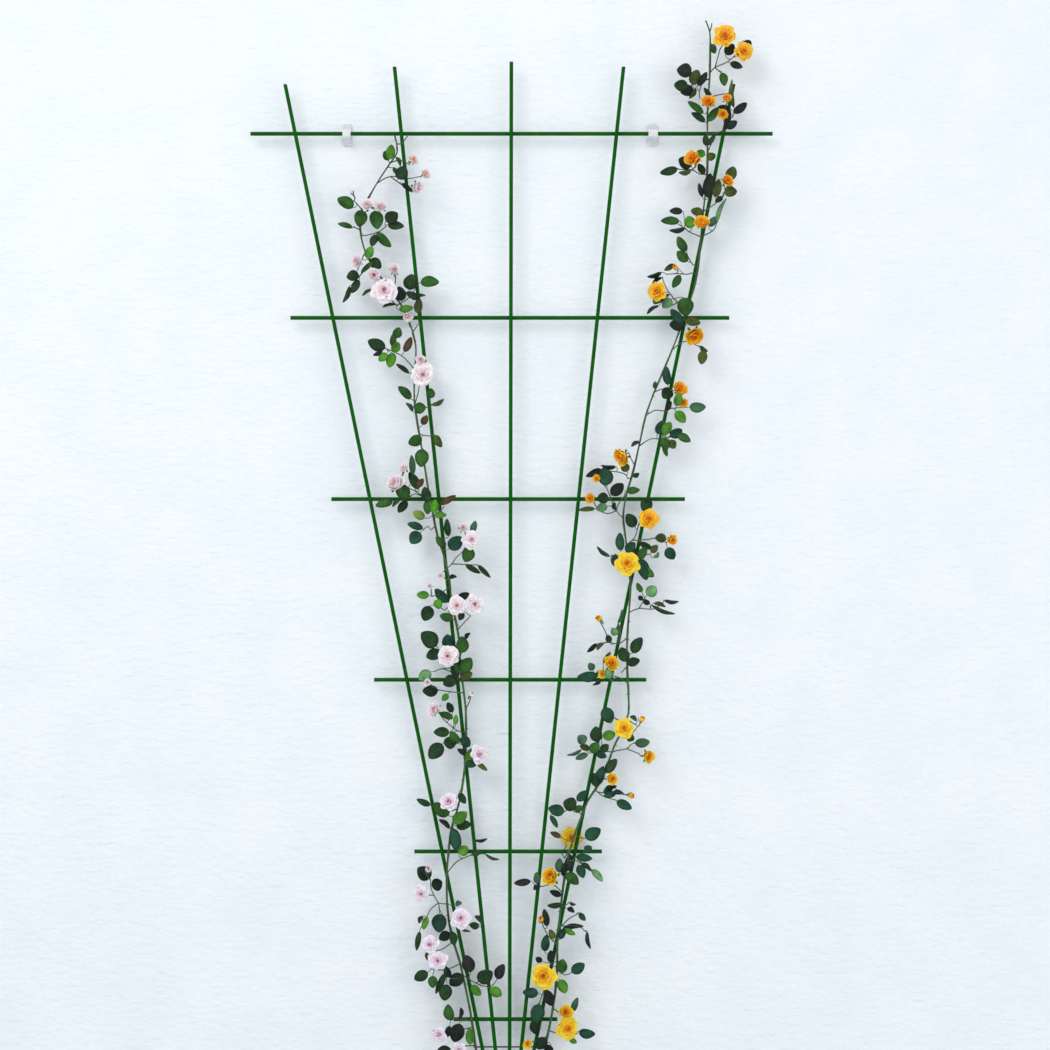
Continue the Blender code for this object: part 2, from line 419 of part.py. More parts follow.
def joined(name, shapes):
    """One closed body from overlapping closed shapes, by a union on a collection."""
    body = mesh_object(name, *outward(*shapes[0]))
    if len(shapes) == 1:
        return body
    others = bpy.data.collections.new(name + "_pieces")
    for number, shape in enumerate(shapes[1:]):
        piece = mesh_object(f"{name}_{number}", *outward(*shape))
        bpy.context.scene.collection.objects.unlink(piece)
        others.objects.link(piece)
    bpy.context.scene.collection.children.link(others)
    union = body.modifiers.new("union", "BOOLEAN")
    union.operation = "UNION"
    union.operand_type = "COLLECTION"
    union.collection = others
    union.solver = "MANIFOLD"
    evaluated = body.evaluated_get(bpy.context.evaluated_depsgraph_get())
    fused = bpy.data.meshes.new_from_object(evaluated)
    body.modifiers.clear()
    body.data = fused
    for piece in list(others.objects):
        bpy.data.objects.remove(piece, do_unlink=True)
    bpy.data.collections.remove(others)
    keep_largest(body.data)
    return body


def keep_largest(mesh):
    """Merge points that the union left together, and drop any loose scrap."""
    shape = bmesh.new()
    shape.from_mesh(mesh)
    bmesh.ops.triangulate(shape, faces=shape.faces)
    bmesh.ops.dissolve_degenerate(shape, edges=shape.edges, dist=WELD * MM)
    bmesh.ops.triangulate(shape, faces=shape.faces)
    unseen = set(shape.verts)
    groups = []
    while unseen:
        group = [unseen.pop()]
        for vert in group:
            for edge in vert.link_edges:
                other = edge.other_vert(vert)
                if other in unseen:
                    unseen.remove(other)
                    group.append(other)
        groups.append(group)
    groups.sort(key=len)
    for group in groups[:-1]:
        bmesh.ops.delete(shape, geom=group, context="VERTS")
    shape.to_mesh(mesh)
    shape.free()


def closed(mesh):
    """Whether every edge of the mesh lies between two faces."""
    shape = bmesh.new()
    shape.from_mesh(mesh)
    whole = all(len(edge.link_faces) == 2 for edge in shape.edges)
    shape.free()
    return whole


# Curves
def smooth_route(route, step):
    """Points along a smooth curve through the route, about a step apart."""
    ends = [route[0], *route, route[-1]]
    points = []
    for a, b, c, d in zip(ends, ends[1:], ends[2:], ends[3:]):
        a, b, c, d = Vector(a), Vector(b), Vector(c), Vector(d)
        count = max(1, round((c - b).length / step))
        for k in range(count):
            t = k / count
            points.append(0.5 * (2 * b + (c - a) * t + (2 * a - 5 * b + 4 * c - d) * t * t
                                 + (3 * b - a - 3 * c + d) * t ** 3))
    points.append(Vector(route[-1]))
    return points


def across(route, height):
    """Where the route is, left to right, at a height."""
    for low, high in zip(route, route[1:]):
        if low[1] <= height <= high[1]:
            share = (height - low[1]) / (high[1] - low[1])
            return low[0] + (high[0] - low[0]) * share
    return route[0][0] if height < route[0][1] else route[-1][0]


def cane_radius(height):
    share = min(max(height / CANE_HEIGHT, 0.0), 1.0)
    return CANE_BASE_R + (CANE_TIP_R - CANE_BASE_R) * share


def cane_depth(height):
    return -(ROD_R + GAP + cane_radius(height))


def stem_depth(height):
    return cane_depth(height) - cane_radius(height) - GAP - STEM_BASE_R


# Leaves
LAYER_DEPTH = {"b": -12.5, "m": -15.5, "f": -18.5, "o": -47.0}
# One side of a leaf's toothed outline: share of its length and of its half width
LEAF_SIDE = [(0.16, 0.60), (0.42, 1.0), (0.50, 0.84), (0.76, 0.60)]
RIB_SHARE = 0.45              # where a blade is thickest, along its rib
LEAF_ARCH = 0.24              # how much a leaf bows forward, as a share of its length


def leaf_shape(root, base, tip, width, roll):
    """A three-sided stalk that widens into a folded, arched, toothed blade."""
    run = tip - base
    length = run.length
    run.normalize()
    face = (Vector((0, -1, 0)) + run * run.y).normalized()
    face = Matrix.Rotation(roll, 3, run) @ face
    side = run.cross(face)

    def at(share, reach, lift):
        bow = LEAF_ARCH * length * share * (1 - share)
        return base + run * share * length + side * reach + face * (lift + bow)

    along = (base - root).normalized()
    beside = (side - along * side.dot(along)).normalized()
    raised = along.cross(beside)
    raised *= 1 if raised.dot(face) > 0 else -1
    verts = [root + beside * STALK_R, root - beside * STALK_R, root + raised * STALK_R * 1.3,
             at(0, STALK_R, 0), at(0, -STALK_R, 0), at(0, 0, STALK_R * 1.3)]
    for sign in (1, -1):
        verts += [at(share, sign * reach * width / 2, LEAF_FOLD * reach * width)
                  for share, reach in LEAF_SIDE]
    verts += [at(RIB_SHARE, 0, RIB_THICK / 2), at(RIB_SHARE, 0, -RIB_THICK / 2), at(1, 0, 0)]
    front, back, end = range(14, 17)
    faces = [(0, 1, 2), (0, 1, 4, 3), (1, 2, 5, 4), (2, 0, 3, 5), (3, 4, back)]
    for first, edge in ((6, 3), (10, 4)):
        faces += [(5, edge, first), (5, first, front), (edge, first, back)]
        rim = [*range(first, first + 4), end]
        for low, high in zip(rim, rim[1:]):
            faces += [(low, high, front), (low, high, back)]
    return verts, faces


# Blooms: rings from the back to the front as share of the radius outwards, share of the
# radius forwards, how deep its petals are notched, and a half petal's turn (0 or 1)
OPEN_RINGS = [(0.30, -0.36, 0.0, 0), (1.0, 0.00, 0.16, 0), (0.95, 0.12, 0.16, 0),
              (0.56, 0.04, 0.0, 0), (0.66, 0.36, 0.14, 1), (0.36, 0.24, 0.0, 0),
              (0.30, 0.50, 0.10, 0)]
CUP_RINGS = [(0.40, -0.56, 0.0, 0), (1.0, 0.20, 0.14, 0), (0.66, 0.14, 0.0, 0),
             (0.56, 0.56, 0.14, 1)]
BUD_RINGS = [(0.52, -0.50, 0.0, 0), (0.74, 0.00, 0.06, 0), (0.46, 0.62, 0.08, 1)]
BLOOM_FORMS = {"open": (OPEN_RINGS, 5, -0.42, 0.44), "cup": (CUP_RINGS, 5, -0.70, 0.50),
               "bud": (BUD_RINGS, 3, -0.80, 1.0)}


def bloom_axis(right, up):
    return Vector((right, -math.sqrt(max(1 - right * right - up * up, 0.05)), up)).normalized()


def bloom_shape(centre, diameter, axis, form, spin):
    rings, petals, back, front = BLOOM_FORMS[form]
    radius = diameter / 2
    side, up = frame_of(axis)
    corners = petals * 2
    verts = [centre + axis * back * radius, centre + axis * front * radius]
    for out, forward, notch, shift in rings:
        for corner in range(corners):
            turn = math.tau * (corner / corners) + spin
            dip = notch if (corner + shift) % 2 else 0.0
            reach = radius * (out - dip)
            lift = radius * (forward - dip * 0.35)
            verts.append(centre + (side * math.cos(turn) + up * math.sin(turn)) * reach
                         + axis * lift)
    faces = []
    last = 2 + (len(rings) - 1) * corners
    for corner in range(corners):
        after = (corner + 1) % corners
        faces.append((0, 2 + after, 2 + corner))
        faces.append((1, last + corner, last + after))
        for ring in range(len(rings) - 1):
            low = 2 + ring * corners
            faces.append((low + corner, low + after, low + corners + after,
                          low + corners + corner))
    return verts, faces


def bloom_centre(x, z, diameter, axis, form, behind=False):
    """Set the bloom just in front of the leaves, however its face is turned."""
    back = BLOOM_FORMS[form][2]
    radius = diameter / 2
    backmost = max(radius * math.sqrt(max(1 - axis.y ** 2, 0.0)) - 0.1 * radius,
                   -radius * back * -axis.y)
    if behind:
        return Vector((x, BEHIND_Y + 0.52 * radius, z))
    return Vector((x, BLOOM_FRONT - backmost, z))


# Trellis: five uprights that fan out from the foot, and six bars across behind them
for number, (height, top_x, foot_x) in enumerate(
        zip(UPRIGHT_HEIGHT, UPRIGHT_TOP_X, UPRIGHT_FOOT_X), start=1):
    ring = [(ROD_R * math.cos(math.tau * (k + 0.5) / ROD_SIDES),
             ROD_R * math.sin(math.tau * (k + 0.5) / ROD_SIDES)) for k in range(ROD_SIDES)]
    low = [(foot_x + x, y, 0.0) for x, y in ring]
    high = [(top_x + x, y, height) for x, y in ring]
    walls = [(k, (k + 1) % ROD_SIDES, ROD_SIDES + (k + 1) % ROD_SIDES, ROD_SIDES + k)
             for k in range(ROD_SIDES)]
    ends = [tuple(range(ROD_SIDES))[::-1], tuple(range(ROD_SIDES, 2 * ROD_SIDES))]
    rod = mesh_object("upright", *outward(low + high, walls + ends))
    finish(rod, f"upright_{number}", material(f"upright_{number}", TRELLIS_GREEN, 0.35))

for number, (height, left, right) in enumerate(zip(BAR_HEIGHT, BAR_LEFT, BAR_RIGHT), start=1):
    rod = mesh_object("bar", *outward(*tube([(left, BAR_Y, height), (right, BAR_Y, height)],
                                            [ROD_R, ROD_R], ROD_SIDES)))
    finish(rod, f"crossbar_{number}", material(f"crossbar_{number}", TRELLIS_GREEN, 0.35))

wire_y = ROD_R + GAP + FOOT_WIRE_D / 2
wire = mesh_object("wire", *outward(*tube(
    [(-FOOT_WIRE_HALF, wire_y, FOOT_WIRE_HEIGHT), (FOOT_WIRE_HALF, wire_y, FOOT_WIRE_HEIGHT)],
    [FOOT_WIRE_D / 2] * 2, 6)))
finish(wire, "foot_wire", material("foot_wire", WIRE_GREEN, 0.5))

# Wall hooks: a plate on the wall and an arm that passes under the top bar and up in front
bar_z = BAR_HEIGHT[0]
plate_y = WALL_Y - HOOK_PLATE
seat = bar_z - ROD_R - GAP
front = BAR_Y - ROD_R - GAP
rise = bar_z + HOOK_LIP
profile = [
    (WALL_Y, bar_z - HOOK_PLATE_FOOT), (WALL_Y, bar_z + HOOK_PLATE_TOP),
    (plate_y, bar_z + HOOK_PLATE_TOP), (plate_y, seat), (front, seat), (front, rise),
    (front - HOOK_ARM, rise - 0.6), (front - HOOK_ARM, seat - 1.6),
    (front - 0.2, seat - HOOK_ARM - 1.4), (plate_y - 3.0, seat - HOOK_ARM - HOOK_WEB),
    (plate_y, bar_z - HOOK_PLATE_FOOT + 3.0)]
count = len(profile)
for side_name, hook_x, width in zip(("left", "right"), HOOK_X, HOOK_WIDTH):
    near = [(hook_x - width / 2, y, z) for y, z in profile]
    far = [(hook_x + width / 2, y, z) for y, z in profile]
    walls = [(k, (k + 1) % count, count + (k + 1) % count, count + k) for k in range(count)]
    caps = [tuple(range(count)), tuple(range(count, 2 * count))[::-1]]
    hook = mesh_object("hook", *outward(near + far, walls + caps))
    finish(hook, f"wall_hook_{side_name}", material(f"wall_hook_{side_name}", HOOK_GREY, 0.3))

# Canes: bare, from the foot of the trellis to the tip
for name, route in (("pink_cane", PINK_ROUTE), ("yellow_cane", YELLOW_ROUTE)):
    course = smooth_route(route, CANE_STEP)
    points = [(p.x, cane_depth(p.y), p.y) for p in course]
    cane = mesh_object("cane", *outward(*tube(points, [cane_radius(p.y) for p in course], 6)))
    finish(cane, name, material(name, CANE_GREEN, 0.6))

# Leafy stems, each fused with its leaves, stalks, small blooms and buds
chance = random.Random(SEED)
bloom_discs = [(x, z, d / 2) for table in (PINK_BLOOMS, YELLOW_BLOOMS)
               for group in table.values() for x, z, d, *_ in group]


def in_span(height, span):
    return span[0] <= height <= span[1]


def under_bloom(x, z, reach):
    return any(math.hypot(x - bx, z - bz) < r + reach for bx, bz, r in bloom_discs)


def leafy_stem(name, span, chance):
    """A length of green stem with all that it bears, in one body."""
    pink = name.startswith("pink")
    route = PINK_ROUTE if pink else YELLOW_ROUTE
    leaves = PINK_LEAVES if pink else YELLOW_LEAVES
    flowers = PINK_BLOOMS if pink else YELLOW_BLOOMS
    buds = PINK_BUDS if pink else YELLOW_BUDS
    course = [p for p in smooth_route(route, STEM_STEP)
              if span[0] + 3 < p.y < span[1] - 3]
    ends = [Vector((across(route, z), z)) for z in span]
    course = [ends[0], *course, ends[1]]
    points = [(p.x, stem_depth(p.y), p.y) for p in course]
    radii = [STEM_BASE_R + (STEM_TIP_R - STEM_BASE_R) * k / len(course)
             for k in range(len(course))]
    shapes = [tube(points, radii, 5)]

    def root_at(height, drop):
        z = min(max(height - drop, span[0] + 2), span[1] - 2)
        aside = Vector([chance.uniform(-ROOT_SPREAD, ROOT_SPREAD) for _ in range(3)])
        return Vector((across(route, z), stem_depth(z), z)) + aside

    for bx, bz, tx, tz, width, layer in leaves:
        tilt = chance.uniform(-1, 1)
        roll = math.radians(chance.uniform(-LEAF_ROLL, LEAF_ROLL))
        length = math.hypot(tx - bx, tz - bz)
        if not in_span(bz, span) or length * width < LEAST_LEAF:
            continue
        depth = LAYER_DEPTH[layer]
        sway = LEAF_SWAY * length * tilt
        if layer != "o" and under_bloom((bx + tx) / 2, (bz + tz) / 2, length / 2):
            sway = max(min(sway, CALM_SWAY), -CALM_SWAY)
            depth = max(depth, LAYER_DEPTH["m"])
            roll *= CALM_ROLL
        base = Vector((bx, depth, bz))
        tip = Vector((tx, depth - sway, tz))
        root = root_at(bz, LEAF_DROP * abs(bx - across(route, bz)))
        run = (tip - base).normalized()
        if run.dot((base - root).normalized()) < TURN_BACK:
            start = base - run * LEAF_NECK
            shapes.append(tube([root, start], [STALK_R * 1.1, STALK_R], 3))
            root = start - run * STALK_R
        shapes.append(leaf_shape(root, base, tip, width, roll))

    for bloom_name, group in flowers.items():
        x, z, diameter, right, up, form = group[0]
        if not in_span(z, span):
            continue
        axis = bloom_axis(right, up)
        behind = bloom_name == BEHIND_UPRIGHT
        centre = bloom_centre(x, z, diameter, axis, form, behind)
        seat = centre + axis * (BLOOM_FORMS[form][2] * diameter / 2 - GAP)
        root = root_at(z, BLOOM_DROP * abs(x - across(route, z)) + LEAST_DROP)
        lead = seat - axis * min(STALK_LEAD, 0.5 * (seat - root).length)
        points = [root, root.lerp(lead, 0.5), lead, seat - axis * HIP_LENGTH, seat]
        radii = [STALK_R * 1.3, STALK_R * 1.1, STALK_R * 1.1, STALK_R * 2.2, STALK_R * 2.6]
        if behind:
            points[1:2] = [Vector((x + dx, y, z + dz)) for dx, y, dz in BEHIND_BENDS]
            radii = [STALK_R * 1.3, *radii]
        shapes.append(tube(points, radii, 4))

    for x, z, diameter, right, up, form in buds:
        if not in_span(z, span):
            continue
        axis = bloom_axis(right, up)
        centre = bloom_centre(x, z, diameter, axis, form)
        heart = centre + axis * (BLOOM_FORMS[form][2] * diameter * 0.3)
        root = root_at(z, BLOOM_DROP * abs(x - across(route, z)) + LEAST_DROP)
        lead = heart - axis * BUD_LEAD
        shapes.append(bloom_shape(centre, diameter, axis, form, 0.3))
        shapes.append(tube([root, root.lerp(lead, 0.5), lead, heart],
                           [STALK_R * 1.3, STALK_R * 1.1, STALK_R * 1.4, STALK_R * 1.8], 4))
    return joined("stem", shapes)


for number, (name, span) in enumerate(STEM_SPANS.items()):
    for draw in range(MOST_DRAWS):
        stem = leafy_stem(name, span, random.Random(SEED + SEEDS_A_STEM * number + draw))
        if closed(stem.data):
            break
        bpy.data.objects.remove(stem, do_unlink=True)
    else:
        raise RuntimeError(f"no closed union was found for {name}")
    finish(stem, name, material(name, LEAF_GREEN, 0.5))

# Blooms
for table, colour in ((PINK_BLOOMS, PINK_PETAL), (YELLOW_BLOOMS, YELLOW_PETAL)):
    for name, group in table.items():
        shapes = []
        hearts = []
        for x, z, diameter, right, up, form in group:
            axis = bloom_axis(right, up)
            hearts.append(bloom_centre(x, z, diameter, axis, form, name == BEHIND_UPRIGHT))
            shapes.append(bloom_shape(hearts[-1], diameter, axis, form, chance.uniform(0, 1.2)))
        if len(hearts) > 1:
            shapes.append(tube(hearts, [TWIN_STALK_R] * 2, 5))
        bloom = joined("bloom", shapes)
        finish(bloom, name, material(name, colour, 0.55))
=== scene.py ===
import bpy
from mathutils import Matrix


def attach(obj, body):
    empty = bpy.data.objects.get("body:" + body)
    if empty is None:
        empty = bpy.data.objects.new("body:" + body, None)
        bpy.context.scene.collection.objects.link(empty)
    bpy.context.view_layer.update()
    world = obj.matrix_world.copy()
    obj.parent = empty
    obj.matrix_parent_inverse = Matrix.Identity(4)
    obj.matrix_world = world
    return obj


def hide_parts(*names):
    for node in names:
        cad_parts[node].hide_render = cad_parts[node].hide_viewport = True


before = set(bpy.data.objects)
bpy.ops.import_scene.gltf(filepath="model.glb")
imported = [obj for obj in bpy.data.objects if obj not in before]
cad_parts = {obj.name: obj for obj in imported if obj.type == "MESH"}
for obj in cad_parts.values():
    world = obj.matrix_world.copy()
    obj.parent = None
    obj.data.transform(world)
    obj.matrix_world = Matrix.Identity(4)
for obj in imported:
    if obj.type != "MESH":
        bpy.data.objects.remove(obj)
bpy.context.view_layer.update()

import math
import random

import bpy
from mathutils import Matrix, Vector

# Trellis rods
# Eleven lengths of steel rod, welded where they cross and dipped in a dark green coat.
# The five uprights fan out from the foot and the six crossbars lie behind them.
COAT_GREEN = (0.0008, 0.104, 0.0010, 1)
COAT_DEEP = (0.0005, 0.078, 0.0008, 1)
MM = 0.001
SHINIER = 0.06            # how far the roughness goes below and above its usual value
DULLER = 0.10


def shader_group(name, inputs, outputs):
    """An empty shader node group with the named sockets."""
    tree = bpy.data.node_groups.new(name, "ShaderNodeTree")
    for label, kind, value in inputs:
        socket = tree.interface.new_socket(name=label, in_out="INPUT", socket_type=kind)
        socket.default_value = value
    for label, kind in outputs:
        tree.interface.new_socket(name=label, in_out="OUTPUT", socket_type=kind)
    return tree, tree.nodes.new("NodeGroupInput"), tree.nodes.new("NodeGroupOutput")


def put(tree, kind, settings=(), values=(), links=()):
    """One node in a tree, with its settings, its fixed input values and its links in."""
    node = tree.nodes.new(kind)
    for key, value in dict(settings).items():
        setattr(node, key, value)
    for key, value in dict(values).items():
        node.inputs[key].default_value = value
    for key, source in dict(links).items():
        tree.links.new(source, node.inputs[key])
    return node


def math_socket(tree, operation, *terms):
    """The result of an operation on one or two terms, each a number or a node's socket."""
    numbers = {key: term for key, term in enumerate(terms) if isinstance(term, float)}
    links = {key: term for key, term in enumerate(terms) if key not in numbers}
    return put(tree, "ShaderNodeMath", {"operation": operation}, numbers, links).outputs[0]


def make_mottle():
    """Two colours in soft patches, as on anything that grew or was dipped."""
    tree, given, out = shader_group(
        "mottle",
        [("Light", "NodeSocketColor", (1, 1, 1, 1)), ("Dark", "NodeSocketColor", (0, 0, 0, 1)),
         ("Size", "NodeSocketFloat", 60.0), ("Amount", "NodeSocketFloat", 1.0)],
        [("Colour", "NodeSocketColor"), ("Mask", "NodeSocketFloat")])
    place = put(tree, "ShaderNodeTexCoord")
    noise = put(tree, "ShaderNodeTexNoise", values={"Detail": 5.0, "Roughness": 0.6},
                links={"Vector": place.outputs["Object"], "Scale": given.outputs["Size"]})
    spread = put(tree, "ShaderNodeMapRange", values={"From Min": 0.36, "From Max": 0.64},
                 links={"Value": noise.outputs["Fac"]})
    part = math_socket(tree, "MULTIPLY", spread.outputs["Result"], given.outputs["Amount"])
    blend = put(tree, "ShaderNodeMix", {"data_type": "RGBA"},
                links={0: part, 6: given.outputs["Light"], 7: given.outputs["Dark"]})
    tree.links.new(blend.outputs[2], out.inputs["Colour"])
    tree.links.new(part, out.inputs["Mask"])
    return tree


def make_grain():
    """Fine bumps of a given size, as a height."""
    tree, given, out = shader_group(
        "grain", [("Size", "NodeSocketFloat", 900.0)], [("Height", "NodeSocketFloat")])
    place = put(tree, "ShaderNodeTexCoord")
    noise = put(tree, "ShaderNodeTexNoise", values={"Detail": 3.0},
                links={"Vector": place.outputs["Object"], "Scale": given.outputs["Size"]})
    tree.links.new(noise.outputs["Fac"], out.inputs["Height"])
    return tree


MOTTLE = make_mottle()
GRAIN = make_grain()


def use_group(tree, group, values=()):
    return put(tree, "ShaderNodeGroup", {"node_tree": group}, values)


def surface(name, roughness):
    """A new material, its node tree and its shader."""
    made = bpy.data.materials.new(name)
    made.use_nodes = True
    shader = made.node_tree.nodes["Principled BSDF"]
    shader.inputs["Roughness"].default_value = roughness
    return made, made.node_tree, shader


def mottled_surface(name, light, dark, patch, roughness, grain, depth):
    """Patches of two colours under fine bumps, with the sheen uneven in the same patches.

    Patch and grain are noise scales, so a higher one is finer, and depth is in metres.
    """
    made, tree, shader = surface(name, roughness)
    colours = use_group(tree, MOTTLE, {"Light": light, "Dark": dark, "Size": patch})
    tree.links.new(colours.outputs["Colour"], shader.inputs["Base Color"])
    uneven = put(tree, "ShaderNodeMapRange",
                 values={"To Min": roughness - SHINIER, "To Max": roughness + DULLER},
                 links={"Value": colours.outputs["Mask"]})
    tree.links.new(uneven.outputs["Result"], shader.inputs["Roughness"])
    bumps = use_group(tree, GRAIN, {"Size": grain})
    relief = put(tree, "ShaderNodeBump", values={"Strength": 0.5, "Distance": depth},
                 links={"Height": bumps.outputs["Height"]})
    tree.links.new(relief.outputs["Normal"], shader.inputs["Normal"])
    return made


def recoat(node, made):
    """Give a carried-over node another material."""
    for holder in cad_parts[node].material_slots:
        holder.material = made


coat = mottled_surface("trellis_coat", COAT_GREEN, COAT_DEEP,
                       patch=22.0, roughness=0.46, grain=420.0, depth=0.00012)
coated = coat.node_tree.nodes["Principled BSDF"]
coated.inputs["Specular IOR Level"].default_value = 0.10
for number in range(1, 6):
    recoat(f"upright_{number}", coat)
for number in range(1, 7):
    recoat(f"crossbar_{number}", coat)

# Foot wire
# A thin dark coated wire that crosses behind the uprights, a hand's breadth above the ground.
# It keeps the feet of the fan at their distance.
wire_coat = mottled_surface("foot_wire_coat", (0.010, 0.030, 0.012, 1), (0.004, 0.012, 0.006, 1),
                            patch=70.0, roughness=0.48, grain=600.0, depth=0.0001)
recoat("foot_wire", wire_coat)

# Wall hooks
# Two small hooks moulded in clear plastic that has gone a little milky.
# Their plates are stuck to the wall, and the top crossbar lies in them.
hook_plastic = mottled_surface("hook_plastic", (0.93, 0.95, 0.97, 1), (0.84, 0.87, 0.90, 1),
                               patch=40.0, roughness=0.26, grain=120.0, depth=0.0001)
milky = hook_plastic.node_tree.nodes["Principled BSDF"]
milky.inputs["Transmission Weight"].default_value = 0.30
milky.inputs["IOR"].default_value = 1.46
for side in ("left", "right"):
    recoat(f"wall_hook_{side}", hook_plastic)

# Canes
# The main cane of each rose, green with browner patches, thinner towards the tip.
# It grew up in front of the uprights, with a bulge at each old bud and hooked thorns.
ROD_R = 3.2
GAP = 0.3
SHOOT_R = 1.0
CANE_BASE_R = 2.7
CANE_TIP_R = 1.4
CANE_HEIGHT = 1700.0
RING_STEP = 7.0           # between the rings of a cane
BARE_SHARE = 0.70
BUD_BULGE = 0.14
BULGE_EVERY = 42.0
THORN_EVERY = 31.0
THORN_LENGTH = 3.4
THORN_PROFILE = [(0.0, 0.0), (0.5, 0.5), (0.9, 1.6)]       # share of its length, how far it hooks
THORN_R = [1.1, 0.5, 0.06]
PINK_ROUTE = [
    (-33, 1), (-44, 50), (-53, 100), (-60, 148), (-70, 200), (-79, 240), (-89, 275),
    (-97, 310), (-100, 345), (-100, 385), (-97, 420), (-92, 456), (-83, 487), (-76, 520),
    (-71, 560), (-69, 600), (-70, 645), (-74, 680), (-79, 712), (-79, 745), (-84, 780),
    (-92, 815), (-96, 850), (-102, 880), (-111, 910), (-118, 938), (-123, 965),
    (-130, 998), (-136, 1035), (-142, 1075), (-148, 1112), (-152, 1140), (-152, 1176),
    (-150, 1205), (-150, 1228), (-157, 1256), (-168, 1284), (-188, 1312), (-208, 1338),
    (-226, 1366), (-235, 1392), (-238, 1420), (-235, 1444), (-222, 1468), (-207, 1494),
    (-191, 1518), (-180, 1534), (-180, 1548), (-183, 1562)]
YELLOW_ROUTE = [
    (36, 1), (46, 50), (54, 90), (61, 125), (68, 160), (73, 195), (76, 235), (77, 280),
    (82, 330), (87, 372), (95, 415), (108, 455), (124, 497), (142, 526), (156, 556),
    (168, 588), (181, 614), (190, 640), (190, 670), (188, 705), (188, 750), (191, 800),
    (193, 840), (190, 880), (185, 925), (182, 955), (187, 990), (197, 1025),
    (209, 1075), (218, 1114), (231, 1152), (247, 1190), (268, 1240), (284, 1284),
    (295, 1320), (302, 1362), (306, 1400), (311, 1450), (315, 1500), (316, 1545),
    (317, 1600), (319, 1652), (320, 1697), (320, 1727), (314, 1745)]


def smooth_route(route, step):
    """Points along a smooth curve through the route, about a step apart."""
    ends = [route[0], *route, route[-1]]
    points = []
    for a, b, c, d in zip(ends, ends[1:], ends[2:], ends[3:]):
        a, b, c, d = Vector(a), Vector(b), Vector(c), Vector(d)
        count = max(1, round((c - b).length / step))
        for k in range(count):
            t = k / count
            points.append(0.5 * (2 * b + (c - a) * t + (2 * a - 5 * b + 4 * c - d) * t * t
                                 + (3 * b - a - 3 * c + d) * t ** 3))
    points.append(Vector(route[-1]))
    return points


def cane_radius(height):
    share = min(max(height / CANE_HEIGHT, 0.0), 1.0)
    return CANE_BASE_R + (CANE_TIP_R - CANE_BASE_R) * share


def cane_depth(height):
    return -(ROD_R + GAP + cane_radius(height))


class Work:
    """A mesh in the making: points in millimetres, faces, their material and their map."""

    def __init__(self):
        self.points, self.faces, self.slots, self.maps = [], [], [], []

    def tube(self, points, radii, sides, slot=0):
        """A tube with flat ends through the points, without twist."""
        points = [Vector(p) for p in points]
        first = len(self.points)
        side = None
        for index, point in enumerate(points):
            run = (points[min(index + 1, len(points) - 1)] - points[max(index - 1, 0)]).normalized()
            if side is None:
                side = run.cross(Vector((0, 1, 0)) if abs(run.y) < 0.9 else Vector((1, 0, 0)))
            side = (side - run * side.dot(run)).normalized()
            up = run.cross(side)
            for corner in range(sides):
                turn = math.tau * corner / sides
                outwards = side * math.cos(turn) + up * math.sin(turn)
                self.points.append(point + outwards * radii[index])
        for ring in range(len(points) - 1):
            for corner in range(sides):
                low = first + ring * sides + corner
                after = first + ring * sides + (corner + 1) % sides
                self.face((low, after, after + sides, low + sides), slot)
        self.face(tuple(first + k for k in range(sides))[::-1], slot)
        last = first + (len(points) - 1) * sides
        self.face(tuple(last + k for k in range(sides)), slot)

    def face(self, corners, slot, mapped=None):
        """One face, with the middle of the map where no map is given."""
        self.faces.append(corners)
        self.slots.append(slot)
        self.maps.append(mapped or [(0.5, 0.5)] * len(corners))

    def sheet(self, at, rows, columns, slot):
        """A sheet of rows by columns, read from a function of shares 0 to 1 along and across."""
        first = len(self.points)
        for row in range(rows + 1):
            for column in range(columns + 1):
                self.points.append(at(row / rows, column / columns))
        for row in range(rows):
            for column in range(columns):
                low = first + row * (columns + 1) + column
                corners = (low, low + 1, low + columns + 2, low + columns + 1)
                spots = [(column, row), (column + 1, row), (column + 1, row + 1), (column, row + 1)]
                self.face(corners, slot, [(c / columns, r / rows) for c, r in spots])

    def made(self, name, materials, thickness=0.0):
        """The finished piece, which rides on the part's only body."""
        mesh = bpy.data.meshes.new(name)
        mesh.from_pydata([p * MM for p in self.points], [], self.faces)
        for given in materials:
            mesh.materials.append(given)
        chart = mesh.uv_layers.new(name="leaf").data
        spots = [spot for mapped in self.maps for spot in mapped]
        for loop, spot in zip(chart, spots):
            loop.uv = spot
        for polygon, slot in zip(mesh.polygons, self.slots):
            polygon.material_index = slot
        mesh.shade_smooth()
        piece = bpy.data.objects.new(name, mesh)
        bpy.context.scene.collection.objects.link(piece)
        if thickness:
            thick = piece.modifiers.new("thickness", "SOLIDIFY")
            thick.thickness = thickness * MM
            thick.offset = 0.0
        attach(piece, "root")
        return piece


def cane_surface(name, green, brown):
    return mottled_surface(name, green, brown,
                           patch=38.0, roughness=0.52, grain=380.0, depth=0.0005)


